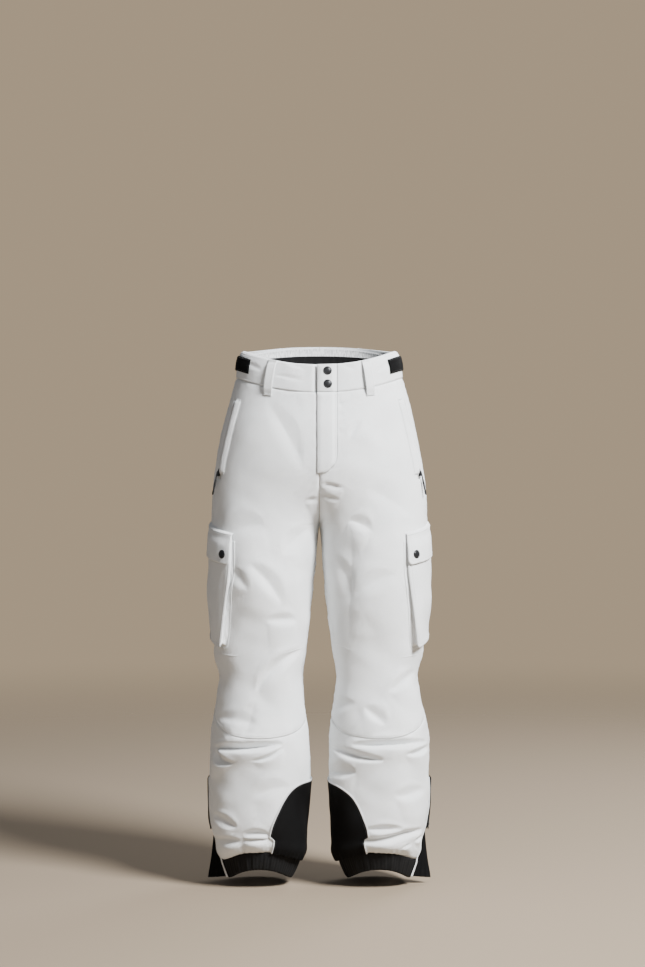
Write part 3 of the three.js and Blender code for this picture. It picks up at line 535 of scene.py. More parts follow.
def hard(name, dark, light, roughness, metallic, grain=260, depth=0.03):
    """Moulded or lacquered hardware with a fine surface grain and slightly worn tone."""
    material, tree, shader = nodes_of(name)
    tone = noise(tree, grain, 4)
    tree.links.new(ramp(tree, tone, dark, light, (0.35, 0.75)), shader.inputs["Base Color"])
    bump(tree, shader, noise(tree, grain * 5, 2), depth)
    rough_by(tree, shader, noise(tree, grain / 2, 3), roughness - 0.06, roughness + 0.08)
    shader.inputs["Metallic"].default_value = metallic
    return material


SHELL = fabric("shell_white_cloth", (0.80, 0.825, 0.838), (0.88, 0.902, 0.912), 0.74)
TRIM = fabric("shell_white_trim", (0.78, 0.804, 0.816), (0.86, 0.88, 0.89), 0.76, soft_mm=5.0,
              soft_depth=0.25)
INSIDE = fabric("inner_lining_cloth", (0.62, 0.635, 0.64), (0.72, 0.735, 0.74), 0.82, grain_mm=1.3)
FLEECE = fleece()
THREAD = fabric("white_thread", (0.70, 0.715, 0.72), (0.82, 0.83, 0.835), 0.6, grain_mm=0.35,
                grain_depth=0.05)
BLACK_CLOTH = (0.0018, 0.0018, 0.002), (0.0042, 0.0043, 0.0047)
GUARD = fabric("guard_black_cloth", *BLACK_CLOTH, 0.74, grain_mm=1.1, grain_depth=0.25, sheen=0.0, shine=0.12)
HEM = ribbed("hem_elastic", (0.0026, 0.0027, 0.003), (0.0066, 0.0067, 0.0072), 2.2, 0.3)
GRIP = ribbed("gripper_elastic", (0.002, 0.0021, 0.0023), (0.0045, 0.0046, 0.005), 1.8, 0.25)
HOOK = fabric("hook_tape_black", *BLACK_CLOTH, 0.85, grain_mm=1.6, grain_depth=0.4, sheen=0.0, shine=0.12)
TAPE = ribbed("zip_tape_black", (0.0025, 0.0026, 0.0028), (0.0056, 0.0057, 0.0062), 1.1, 0.2)
PLASTIC = hard("zip_coil_plastic", (0.010, 0.0103, 0.011), (0.024, 0.0245, 0.026), 0.42, 0.0)
SNAP = hard("snap_black_lacquer", (0.016, 0.0165, 0.018), (0.034, 0.035, 0.038), 0.34, 0.55)
CORD = fabric("pull_cord_black", (0.008, 0.0082, 0.009), (0.018, 0.0185, 0.020), 0.6, grain_mm=0.8,
              grain_depth=0.3)
PIPING = fabric("guard_piping", (0.70, 0.715, 0.72), (0.80, 0.81, 0.815), 0.7, grain_mm=0.6)
PULL_MATERIAL = hard("pull_rubber", (0.007, 0.0072, 0.008), (0.016, 0.0165, 0.018), 0.5, 0.0)
WHITE_TAPE = ribbed("zip_tape_white", (0.70, 0.715, 0.72), (0.80, 0.815, 0.82), 1.1, 0.2)
WHITE_COIL = hard("zip_coil_white", (0.66, 0.67, 0.68), (0.78, 0.79, 0.80), 0.45, 0.0)


# ---------- straight frames and small solids ----------
def laid_frame(side, foot, top, lift=0.0):
    """A frame on the skin from foot to top, each (u, h): across, outward, along and origin as columns."""
    out = mirrored(outward((foot[0] + top[0]) / 2, (foot[1] + top[1]) / 2), side)
    start, end = lifted(side, *foot, lift), lifted(side, *top, lift)
    along = unit(end - start)
    out = unit(out - along * np.dot(out, along))
    return np.stack([np.cross(out, along), out, along, start], axis=1)


def spot_frame(side, u, h, lift):
    return laid_frame(side, (u, h), (u, h + 3), lift)


def straight_run(side, foot, top, lift=0.0):
    """The frame laid from foot to top, and the distance between them."""
    return laid_frame(side, foot, top, lift), float(np.linalg.norm(skin(*foot) - skin(*top)))


def slid(base, distance):
    return np.concatenate([base[:, :3], base[:, 3:] + base[:, 2:3] * distance], axis=1)


def in_frame(base, points):
    return np.asarray(points, float) @ base[:, :3].T + base[:, 3]


def oval(width, thick, power=4.0, count=16):
    """A section with rounded corners: rounder as the power nears 2."""
    turn = 2 * np.pi * np.arange(count) / count
    wave = np.stack([np.cos(turn), np.sin(turn)], axis=1)
    return np.sign(wave) * np.abs(wave) ** (2 / power) * [width / 2, thick / 2]


def swept(path, normals, section, scale=None, closed=False):
    """Points and faces of a section carried along a path, its second axis along the normals."""
    path = np.asarray(path, float)
    if closed:
        along = unit(np.roll(path, -1, axis=0) - np.roll(path, 1, axis=0))
    else:
        along = unit(np.gradient(path, axis=0))
    normals = np.broadcast_to(np.asarray(normals, float), path.shape)
    normals = unit(normals - along * np.sum(normals * along, axis=1, keepdims=True))
    across = np.cross(along, normals)
    scale = np.ones((len(path), 2)) if scale is None else np.asarray(scale, float)
    size = scale[:, None, :] * np.asarray(section, float)[None]
    rings = path[:, None] + across[:, None] * size[..., :1] + normals[:, None] * size[..., 1:]
    rows, cols = rings.shape[:2]
    if closed:
        rings = np.concatenate([rings, rings[:1]])
        rows += 1
    faces = grid_faces(rows, cols, wrap=True)
    if closed:
        faces = [[i % ((rows - 1) * cols) for i in face] for face in faces]
        rings = rings[:-1]
    else:
        last = (rows - 1) * cols
        faces += [list(range(cols))[::-1], list(range(last, last + cols))]
    return rings.reshape(-1, 3), faces


def block(size, centre, bevel=0.3):
    """A box with rounded edges."""
    half = np.asarray(size, float) / 2
    marks = [np.unique([-a, -a + 0.3 * bevel, -a + bevel, a - bevel, a - 0.3 * bevel, a]) for a in half]
    points, faces = [], []
    for axis in range(3):
        p, q = [k for k in range(3) if k != axis]
        for end in (-half[axis], half[axis]):
            first, second = np.meshgrid(marks[p], marks[q], indexing="ij")
            patch = np.full(first.shape + (3,), end)
            patch[..., p], patch[..., q] = first, second
            inner = np.clip(patch, -half + bevel, half - bevel)
            patch = inner + unit(patch - inner) * bevel
            turned_over = (end < 0) != (axis == 1)
            faces += grid_faces(*first.shape, offset=sum(len(x) for x in points), flip=not turned_over)
            points.append(patch.reshape(-1, 3))
    points = np.concatenate(points)
    keys, where = np.unique(points.round(5), axis=0, return_inverse=True)
    return keys + np.asarray(centre, float), [[int(where.reshape(-1)[i]) for i in face] for face in faces]


def lathed(profile, sides=48):
    """A solid of revolution about the outward axis, from (radius, height) pairs that start and end on it."""
    profile = np.asarray(profile, float)
    turn = 2 * np.pi * np.arange(sides) / sides
    ring = np.stack([np.cos(turn), np.zeros(sides), np.sin(turn)], axis=1)
    body = profile[1:-1]
    points = (body[:, None, :1] * ring[None]) + body[:, None, 1:] * np.array([0.0, 1.0, 0.0])
    points = np.concatenate([points.reshape(-1, 3), [[0, profile[0][1], 0], [0, profile[-1][1], 0]]])
    faces = grid_faces(len(body), sides, wrap=True)
    low, high, last = len(points) - 2, len(points) - 1, (len(body) - 1) * sides
    faces += [[low, (k + 1) % sides, k] for k in range(sides)]
    faces += [[high, last + k, last + (k + 1) % sides] for k in range(sides)]
    return points, faces


def rounded(profile, passes=2):
    """Corners of an open profile cut back, keeping its ends."""
    line = np.asarray(profile, float)
    for _ in range(passes):
        near = line[:-1] * 0.75 + line[1:] * 0.25
        far = line[:-1] * 0.25 + line[1:] * 0.75
        line = np.concatenate([line[:1], np.stack([near, far], axis=1).reshape(-1, line.shape[1]), line[-1:]])
    return line


class Parts:
    """Several closed solids that make one piece."""

    def __init__(self):
        self.points, self.faces, self.count = [], [], 0

    def add(self, solid, base=None):
        points, faces = solid
        faces = facing_out(points, faces)
        if base is not None:
            points = in_frame(base, points)
            if np.linalg.det(base[:, :3]) < 0:
                faces = [face[::-1] for face in faces]
        self.faces += [[i + self.count for i in face] for face in faces]
        self.points.append(np.asarray(points, float))
        self.count += len(points)
        return self

    def piece(self, name, material, body=ROOT, slot=None, replaces=()):
        made = new_object(name, np.concatenate(self.points), self.faces, material)
        return place(made, body, replaces)


# ---------- stitching ----------
def surface_line(side, us, hs, lift=0.0):
    """Points and normals on the folded shell along a line of u and h."""
    us, hs = np.broadcast_arrays(np.asarray(us, float), np.asarray(hs, float))
    return lifted(side, us, hs, relief(side, us, hs) + lift), mirrored(outward(us, hs), side)


def stitch_row(parts, line, normals, pitch=3.3, length=2.4, radius=0.34):
    """Thread that shows in short straight stitches along a line on the cloth."""
    line, normals = np.asarray(line, float), np.asarray(normals, float)
    at = np.concatenate([[0], np.cumsum(np.linalg.norm(np.diff(line, axis=0), axis=1))])
    for start in np.arange(pitch / 2, at[-1] - length, pitch):
        marks = start + length * np.array([0, 0.2, 0.5, 0.8, 1])
        path = np.stack([np.interp(marks, at, line[:, k]) for k in range(3)], axis=1)
        n = np.stack([np.interp(marks, at, normals[:, k]) for k in range(3)], axis=1)
        path = path + unit(n) * np.array([-0.5, 0.05, 0.22, 0.05, -0.5])[:, None]
        parts.add(swept(path, n, oval(2 * radius, 1.6 * radius, 2, 6)))


def stitch_at(parts, side, u, h, lift):
    """Stitches at a lift off the even skin."""
    stitch_row(parts, lifted(side, u, h, lift), mirrored(outward(u, h), side))


def bartack(parts, centre, along, normal, length=9.0, width=2.2):
    """A bar of dense zigzag thread."""
    along, normal = unit(np.asarray(along, float)), unit(np.asarray(normal, float))
    across = np.cross(along, normal)
    count = int(length / 0.9)
    zigzag = np.array([centre + along * (k / count - 0.5) * length + across * width * (0.5 if k % 2 else -0.5)
                       + normal * (0.35 + 0.12 * (k % 2)) for k in range(count + 1)])
    parts.add(swept(zigzag, normal, oval(0.75, 0.6, 2, 6)))


# ---------- shell panels ----------
CELL = 3.5


def shin_seam(any_u):
    u = np.asarray(any_u, float) - np.floor(any_u)
    front_inner = 287 + 36 * (np.clip(0.25 - u, 0, 1) / 0.25) ** 2
    front_outer = 287 + 55 * (np.clip(u - 0.25, 0, 1) / 0.25) ** 2
    behind = 342 - 19 * smooth((u - 0.5) / 0.5) + 14 * np.sin(2 * np.pi * (u - 0.5))
    return np.where(u < 0.25, front_inner, np.where(u < 0.5, front_outer, behind))


def yoke_seam(u):
    return WAIST_SEAM - 62 - 44 * smooth((np.asarray(u) - 0.5) / 0.5)


def stitch_x(h):
    """The x of the J-shaped stitched edge of the fly at a height."""
    down = np.clip((FLY_FOOT + FLY_ROUND - h) / FLY_ROUND, 0, 1)
    return FLY_STITCH * np.sqrt(1 - down ** 2)


FLY_TURNS = FLY_FOOT + FLY_ROUND * (1 - np.cos(np.linspace(0.02, math.pi / 2, 22)))


def levels(low, high, cell=CELL):
    return np.linspace(low, high, max(2, int(round((high - low) / cell)) + 1))


def pocket_zip_place():
    """The hand pocket zip's ends, each (u, h)."""
    beside = WELT_W / 2 + ZIP_SLOT / 2 + 1.5
    return [(float(welt_line(h) + share(beside, 0.37, h)), h) for h in POCKET_ZIP]


def welt_line(h):
    return WELT_U[0] + (WELT_U[1] - WELT_U[0]) * (h - WELT_FOOT) / (WELT_TOP - WELT_FOOT)


def slot_groove(side, points):
    """How deep the shell is pressed in along the hand pocket zip, which runs straight beneath its skin."""
    base, length = straight_run(side, *pocket_zip_place())
    local = (points - base[:, 3]) @ base[:, :3]
    near = smooth((ZIP_SLOT / 2 + 3.5 - np.abs(local[..., 0])) / 3.0)
    inside = smooth((local[..., 2] + 4) / 5) * smooth((length + 5 - local[..., 2]) / 5)
    return near * inside * np.maximum(local[..., 1] + 2.2, 0)


def upper_panel(name, side, u0, top_seam, cad, fly=False):
    us = row_of(131)
    rough = u0 + 0.5 * us
    foot, top = shin_seam(rough) + GAP / 2, top_seam(rough) - GAP / 2
    below = levels(0, 1, CELL / (CROTCH - 290))[:-1, None]
    turn = np.concatenate([110 * np.linspace(0, 1, 44) ** 1.8, levels(110, WAIST_SEAM - CROTCH)[1:]])
    rise = turn / (WAIST_SEAM - CROTCH)
    if fly:
        rise = np.unique(np.concatenate([rise, (FLY_TURNS - CROTCH) / (WAIST_SEAM - CROTCH)]))
    h = np.concatenate([foot + (CROTCH - foot) * below, CROTCH + (top - CROTCH) * rise[:, None]])
    edge = share(GAP / 2, 0.5, h)
    start = u0 + edge
    depths = dict(SEWN)
    if fly:
        inside = np.where(h >= FLY_FOOT, front_u(stitch_x(h) + GAP, np.minimum(h, WAIST_SEAM)), 0)
        start = np.maximum(start, inside)
        depths["left"] = np.where(h < FLY_FOOT - 4, SEWN["left"], 0.25)
    u = start + (u0 + 0.5 - edge - start) * us
    return panel(name, side, u, h, [cad], depths, grooved=u0 == 0)


def yoke(label, side):
    us = row_of(121)
    edge = share(GAP / 2, 0.5, WAIST_SEAM)
    u = 0.5 + edge + (0.5 - 2 * edge) * us
    foot = yoke_seam(u) + GAP / 2
    h = foot + (WAIST_SEAM - GAP / 2 - foot) * column_of(24)
    return panel(f"back_yoke_cloth_{label}", side, u + 0 * h, h, [f"back_yoke_{label}"])


def slit_spread(h):
    """How far the front edge of the hem's slit stands open below the zip, in millimetres."""
    return 13.0 * np.clip((HEM_ZIP[0] - 4 - h) / HEM_ZIP[0], 0, 1) ** 1.25


def lower_u(u0, s, h, slotted):
    seam = share(GAP / 2, 0.5, h)
    half_slot = ZIP_SLOT / 2 + (slit_spread(h) if u0 == 0 else 0)
    slot = np.where(slotted, share(half_slot, 0.5, h), seam)
    before, after = (seam, slot) if u0 == 0 else (slot, seam)
    return u0 + before + (0.5 - before - after) * s


def lower_panel(name, side, u0, cad):
    s = row_of(111)
    foot = HEM_BAND + GAP / 2
    slot_top = HEM_ZIP[1] + 1
    t = np.concatenate([np.linspace(0, 1, 60) ** 1.15, 1 + np.linspace(0.02, 1, 40)])[:, None]
    top = shin_seam(u0 + 0.5 * s) - GAP / 2
    h = np.where(t <= 1, foot + (slot_top - foot) * t, slot_top + (top - slot_top) * (t - 1))
    u = lower_u(u0, s, h, t <= 1)
    return panel(name, side, u, h, [cad], {**SEWN, "low": 4.0})


def seam_stitches(label, side):
    """Topstitching beside the shell's seams."""
    parts = Parts()
    front = np.linspace(0.02, 0.485, 150)
    for offset in (2.2, 6.0):
        stitch_row(parts, *surface_line(side, front, shin_seam(front) + offset))
    behind = np.linspace(0.51, 0.985, 150)
    stitch_row(parts, *surface_line(side, behind, shin_seam(behind) + 2.4))
    for offset in (2.4, 6.4):
        stitch_row(parts, *surface_line(side, behind, yoke_seam(behind) - offset))
    return parts.piece(f"seam_stitches_{label}", THREAD, slot="shell_white")


def darts(label, side):
    """Short stitched tucks that shape the knee."""
    parts, threads = Parts(), Parts()
    for x0, h0, x1, h1 in KNEE_DARTS[side]:
        xs, hs = np.linspace(x0, x1, 26), np.linspace(h0, h1, 26)
        us = leg_u(xs, hs)
        line, normals = surface_line(side, us, hs, 0.1)
        grow = np.sin(np.pi * np.linspace(0.06, 0.94, 26)) ** 0.5
        parts.add(swept(line, normals, oval(2.2, 1.3, 2.5, 10), np.stack([grow, grow], axis=1)))
        stitch_row(threads, *surface_line(side, leg_u(xs, hs + 2.6), hs + 2.6))
    parts.piece(f"knee_darts_{label}", SHELL, slot="shell_white")
    threads.piece(f"knee_dart_stitches_{label}", THREAD, slot="shell_white")


def leg_u(x, h):
    """The u of a point of the leg's front by its x."""
    middle = (outer_at(h) + inner_at(h)) / 2
    half = (outer_at(h) - inner_at(h)) / 2
    away = np.clip((x - middle) / half, -1, 1)
    return 0.25 + np.arcsin(np.sign(away) * np.abs(away) ** (SQUARENESS / 2)) / (2 * np.pi)


# ---------- ankle ----------
def guard_half(t):
    """Half the guard's width: full below, round-shouldered above, nipped in where the shell hangs over it."""
    return GUARD_HALF * (1 - t ** 1.6) ** 0.21 * (1 - 0.07 * smooth((0.26 - t) / 0.07))


def ankle_guard(label, side):
    foot = HEM_BAND + 1
    straight, round_top = 0.8, 1 - 0.2 * np.linspace(1, 0.12, 26)[1:] ** 2
    t = np.concatenate([np.linspace(0, straight, 40), round_top])[:, None]
    u, h = guard_half(t) * row_of(91, -1, 1), foot + (GUARD_TOP - foot) * t + 0 * row_of(91)
    sink, _ = edge_tuck(lifted(1, u, h), {"left": 0.9, "right": 0.9, "high": 0.9}, 1.8)
    base = relief(side, u, h) + 0.9 + 0.5 * bell(h - foot, 10)
    laid_cloth(f"ankle_guard_cloth_{label}", side, u, h, (base + 1.5 - sink, base - 0.3), GUARD,
               "guard_black", [f"ankle_guard_{label}"])
    rim_t = np.concatenate([np.linspace(0, straight, 50), round_top])
    top_u = guard_half(rim_t[-1]) * np.linspace(-1, 1, 24)[1:-1]
    rim_u = np.concatenate([-guard_half(rim_t), top_u, guard_half(rim_t[::-1])])
    rim_h = foot + (GUARD_TOP - foot) * np.concatenate([rim_t, 0 * top_u + rim_t[-1], rim_t[::-1]])
    piping = swept(*surface_line(side, rim_u, rim_h, 1.6), oval(3.0, 2.6, 2.2, 12))
    Parts().add(piping).piece(f"guard_piping_{label}", PIPING, slot="shell_white")
    threads = Parts()
    stitch_row(threads, *surface_line(side, rim_u * 0.972, foot + (rim_h - foot) * 0.982, 2.45))
    threads.piece(f"guard_stitches_{label}", CORD, slot="guard_black")


def hem_band(label, side):
    """Gathered elastic from the back of the hem's slit round to its front."""
    s = row_of(150)
    h = column_of(16, 0, HEM_BAND - GAP / 2) + 0 * s
    behind = lower_u(0.5, s[:, :-1], h[:, :-1], True)
    ahead = 1 + lower_u(0.0, s[:, 1:], h[:, 1:], True)
    u = np.concatenate([behind, ahead], axis=1)
    h = np.concatenate([h[:, :-1], h[:, 1:]], axis=1)
    turn = u * 2 * np.pi
    rib = 0.45 * np.sin(74 * turn) + 0.5 * np.sin(23 * turn + 2 * np.sin(4 * turn)) + 0.3 * np.sin(41 * turn)
    crown = 1 - ((2 * h / HEM_BAND - 1) ** 2)
    sink, _ = edge_tuck(lifted(1, u, h), {"left": 1.0, "right": 1.0, "low": 1.2}, 2.0)
    move = -1.3 + rib * (0.55 + 0.45 * crown) + 0.6 * crown - sink
    laid_cloth(f"hem_elastic_{label}", side, u, h, (move, np.minimum(move, 0.5) - CLOTH + 0.4), HEM,
               "elastic_black", [f"hem_band_{label}"])


def gaiter(label, side):
    """The inner snow cuff, gathered at both ends."""
    u = 0.002 + 0.996 * row_of(200)
    t = column_of(60)
    h = 22 + 200 * t
    gather = 1.2 * np.sin(u * 2 * np.pi * 46 + 2 * np.sin(u * 30)) * (bell(t, 0.12) + 0.6 * bell(t - 1, 0.1))
    lift = -14 - 6 * smooth(1 - t / 0.14) + gather + ripples(lifted(1, u, h), 41, 60.0) * 0.8
    laid_cloth(f"snow_gaiter_cloth_{label}", side, u, h, (lift, lift - 1.2), INSIDE, "liner",
               [f"snow_gaiter_{label}"])


def gusset(label, side):
    """The pleated fan that fills the open slit below the hem zip."""
    top = HEM_ZIP[0] - 2
    s = row_of(49)
    t = column_of(50)
    h = 3 + (top - 3) * t + 0 * s
    half = share(ZIP_TAPE / 2, 0.5, h)
    open_by = ((top - h) / (top - 6)) ** 1.15
    fold = 1 - np.abs(2 * s - 1)
    pleat = np.sin(14 * np.pi * s) * open_by * 0.9
    lift = GUSSET_FLARE * open_by * fold
    u = 0.5 + half * (2 * s - 1) - share(slit_spread(h), 0.5, h) * (1 - s)
    h = h + 8.0 * fold * bell(h - 3, 30)
    face = lifted(side, u + share(1.0, 0.5, h) * pleat, h, np.maximum(lift - 0.3, 0))
    u = 0.5 + half * (2 * s - 1) * 0.72 - share(slit_spread(h), 0.5, h) * (1 - s)
    lining = lifted(side, u, h, np.maximum(lift - 3.2, -0.3) - 0.9)
    piece = cloth(f"hem_gusset_cloth_{label}", face, lining, GUARD)
    place(piece, ROOT, [f"hem_gusset_{label}"])


def zip_guard(label, side):
    """The pale strip that covers the front edge of the hem zip's slit."""
    wide = 11.0
    h = np.linspace(2.5, HEM_ZIP[1] + 4, 90)
    width = 15.0 - 10.0 * smooth((h - 30) / 90)
    u = 0.5 - share(ZIP_SLOT / 2 + slit_spread(h) + width / 2 + 1.5, 0.5, h)
    over_band = smooth((HEM_BAND + 12 - h) / 20)
    line, normals = surface_line(side, u, h, 0.0)
    lift = np.where(h < HEM_BAND, 0.9, 0.9 - 0.1 * over_band)
    plain = lifted(side, u, h, 1.0)
    line = line * (1 - over_band[:, None]) + plain * over_band[:, None] + normals * lift[:, None]
    scale = np.stack([width / wide, np.ones_like(h)], axis=1)
    Parts().add(swept(line, normals, oval(wide, 2.0, 4, 18), scale)).piece(
        f"zip_guard_strip_{label}", TRIM, slot="shell_white")


def zip_fin(label, side):
    """The black edge that stands up behind the hem zip."""
    foot, top = HEM_ZIP[0] - 6, HEM_ZIP[1] + 6
    h = np.linspace(foot, top, 60)
    u = 0.5 + share(ZIP_SLOT / 2 + 1.6, 0.5, h)
    height = smooth((top - h) / 8 + 0.15) * smooth((h - foot) / 12 + 0.3)
    scale = np.stack([np.ones_like(h), height], axis=1)
    fin = swept(*surface_line(side, u, h, 3.0), oval(2.6, 6.4, 3, 14), scale)
    Parts().add(fin).piece(f"hem_zip_edge_{label}", TAPE, slot="zip_black")


# ---------- zips ----------
BAR_LIFT = 6.2  # how far a pull's eye stands off the zip


def zip_run(name, base, length, tape, coil, slot):
    """Two tapes, their cords, and the two rows of teeth that lock between them."""
    parts, teeth = Parts(), Parts()
    for way in (-1, 1):
        path = np.array([[way * 3.25, -0.45, z] for z in np.linspace(0, length, 12)])
        parts.add(swept(path, [0, 1, 0], oval(5.9, 0.9, 6, 12)), base)
        parts.add(swept(path - [way * 1.1, -0.5, 0], [0, 1, 0], oval(1.2, 0.7, 2, 8)), base)
    parts.piece(f"{name}_zip_tape", tape, slot=slot, replaces=[f"{name}_zip"])
    pitch = 1.3
    tooth = [[2.3, 0.2], [2.3, 1.5], [1.4, 2.1], [-0.1, 2.0], [-0.7, 1.2], [-0.5, 0.5]]
    for k in range(int((length - 4) / pitch)):
        way = 1 if k % 2 else -1
        loop = [[way * x, y, 2 + k * pitch] for x, y in tooth]
        teeth.add(swept(rounded(loop, 1), [0, 0, 1], oval(0.8, 0.95, 2, 6)), base)
    teeth.piece(f"{name}_zip_teeth", coil, slot=slot)


def slider_solids(parts, base, bail=True):
    parts.add(block((8.6, 1.5, 12.0), (0, 3.2, 0), 0.6), base)
    parts.add(block((6.4, 1.3, 4.5), (0, 3.2, 6.6), 0.6), base)
    for way in (-1, 1):
        parts.add(block((1.2, 3.2, 11.0), (way * 3.8, 2.0, 0), 0.45), base)
    if bail:
        arch = rounded([[0, 3.4, -4.2], [0, 5.6, -3.6], [0, 7.0, 0], [0, 5.6, 3.6], [0, 3.4, 4.2]], 2)
        parts.add(swept(arch, [1, 0, 0], oval(1.4, 1.6, 2.4, 10)), base)


def slider_and_pull(name, base, rest, length):
    """The slider, and its moulded pull: two strands from the bail, a sleeve, and an open drop at the end."""
    at = slid(base, rest)
    slider = Parts()
    slider_solids(slider, at)
    slider.piece(f"{name}_slider_metal", SNAP, f"{name}_slider_body", "snap_metal", [f"{name}_slider"])
    drop = min(13.0, 0.5 * length)
    sleeve = 0.42 * length
    half = [[0, 0.4], [0.95, -0.6], [0.95, -sleeve], [0.75, -(length - drop)], [2.4, -(length - 0.6 * drop)],
            [2.7, -(length - 0.3 * drop)], [1.5, -(length - 0.9)], [0, -(length - 0.7)]]
    loop = half + [[-x, z] for x, z in half[-2:0:-1]]
    path = np.array([[x, BAR_LIFT - 0.1 * smooth(-z / 8), z] for x, z in loop])
    for _ in range(3):
        path = (path * 0.5 + np.roll(path, -1, axis=0) * 0.5)
        path = np.stack([path, (path + np.roll(path, -1, axis=0)) / 2], axis=1).reshape(-1, 3)
    parts = Parts().add(swept(path, [0, 1, 0], oval(2.0, 2.0, 2, 10), closed=True), at)
    grip_z = np.linspace(-0.28 * length, -(length - 0.92 * drop), 16)
    grip = np.array([[0, BAR_LIFT - 0.1, z] for z in grip_z])
    taper = 0.82 + 0.3 * np.sin(np.pi * np.linspace(0.05, 0.95, 16)) ** 0.7
    parts.add(swept(grip, [0, 1, 0], oval(4.4, 3.0, 3, 14), np.stack([taper, taper], axis=1)), at)
    parts.piece(f"{name}_pull_moulding", PULL_MATERIAL, f"{name}_pull_body", "zip_black", [f"{name}_pull"])


def hem_zip(label, side):
    base, length = straight_run(side, *((0.5, h) for h in HEM_ZIP))
    zip_run(f"hem_{label}", base, length, TAPE, PLASTIC, "zip_black")
    slider_and_pull(f"hem_{label}", base, 14, 18)


# ---------- cargo pocket ----------
POUCH_CORNER, FACE_FOOT, POUCH_GIRTH = 7.0, POUCH_FOOT + 7.0, 160.0
FLAP_CORNER, FLAP_SETTLE, HEAD_RISE, BEND = 9.0, 1.2, 5.5, 16.0


def pocket_edges(h):
    down = (FLAP_TOP - h) / (FLAP_TOP - POUCH_FOOT)
    return (POUCH_FRONT[0] + (POUCH_FRONT[1] - POUCH_FRONT[0]) * down,
            POUCH_BACK[0] + (POUCH_BACK[1] - POUCH_BACK[0]) * down)


def pocket_uh(s, h):
    """The place on the leg s across the pocket."""
    front, back = pocket_edges(h)
    u = front + (back - front) * s
    return u, h + POCKET_TILT * (u - 0.5)


def pocket_point(side, s, h, lift):
    return lifted(side, *pocket_uh(s, h), lift)


def pouch_lift(s, h):
    down = 1 - np.clip((h - POUCH_FOOT) / (POUCH_TOP - POUCH_FOOT), 0, 1)
    edge = POUCH_EDGE * down ** 1.1
    middle = POUCH_MIDDLE * down ** 0.6
    return POUCH_MOUTH + middle + (edge - middle) * (2 * s - 1) ** 2


def flap_lift(s, h):
    room = FLAP_REST + STUD_ROOM * smooth(2.4 * (FLAP_TOP - h) / FLAP_DROP)
    return pouch_lift(s, h) + room + FLAP_THICK


def corner_inset(height, radius):
    """How far a rounded lower corner draws an edge in at a height above the foot."""
    x = np.clip(1 - height / radius, 0, 1)
    return radius * (1 - np.sqrt(1 - x * x))


def edge_outline(top, foot, radius, inside, sides, corner, across=40):
    """s and h down the front edge, along the foot and up the back edge, with rounded lower corners."""
    turn = np.linspace(0, math.pi / 2, corner)
    down = np.linspace(top, foot + radius, sides)
    corner_x = radius - (radius - inside) * np.cos(turn)
    corner_h = foot + radius - (radius - inside) * np.sin(turn)
    foot_x = np.linspace(radius, POUCH_GIRTH - radius, across)[1:-1]
    x = np.concatenate([np.full(sides, inside), corner_x[1:], foot_x, POUCH_GIRTH - corner_x[::-1][:-1],
                        np.full(sides, POUCH_GIRTH - inside)])
    foot_h = np.full(len(foot_x), foot + inside)
    h = np.concatenate([down, corner_h[1:], foot_h, corner_h[::-1][:-1], down[::-1]])
    return x / POUCH_GIRTH, h


def pouch_outline(inside):
    return edge_outline(POUCH_TOP, FACE_FOOT, POUCH_CORNER, inside, 40, 12)


def pouch_face(label, side):
    rows = FACE_FOOT + (POUCH_TOP - FACE_FOOT) * np.concatenate([[0, 0.004, 0.01], np.linspace(0.02, 1, 62)])
    h = rows[:, None]
    inset = corner_inset(h - FACE_FOOT + 0.4, POUCH_CORNER) / POUCH_GIRTH
    s = inset + (1 - 2 * inset) * row_of(71)
    h = h + 0 * s
    grid = pocket_point(side, s, h, pouch_lift(s, h))
    sink, nearest = edge_tuck(grid, {"left": 1.0, "right": 1.0, "low": 1.0, "high": 0.6}, 1.6)
    wave = ripples(grid, 51 + side, 90.0) * 1.3 + ripples(grid, 53 + side, 46.0) * 0.4
    wave += 1.6 * np.sin(np.pi * s) * bell((h - FACE_FOOT - 120) / 70, 1)
    wave *= 0.25 + 0.75 * smooth((FLAP_TOP - FLAP_DROP - 8 - h) / 30)
    move = wave * smooth(nearest / 16) + 0.5 * bell(nearest - 3.2, 1.6) - sink
    lifts = [pouch_lift(s, h) + move, pouch_lift(s, h) + np.minimum(move, 0.3) - 1.4]
    laid_cloth(f"cargo_pouch_face_{label}", side, *pocket_uh(s, h), lifts, SHELL, "shell_white",
               [f"cargo_pouch_{label}"])
    threads = Parts()
    for inside in (2.4, 7.2):
        s, h = pouch_outline(inside)
        stitch_at(threads, side, *pocket_uh(s, h), pouch_lift(s, h) + 0.25)
    threads.piece(f"cargo_pouch_stitches_{label}", THREAD, slot="shell_white")


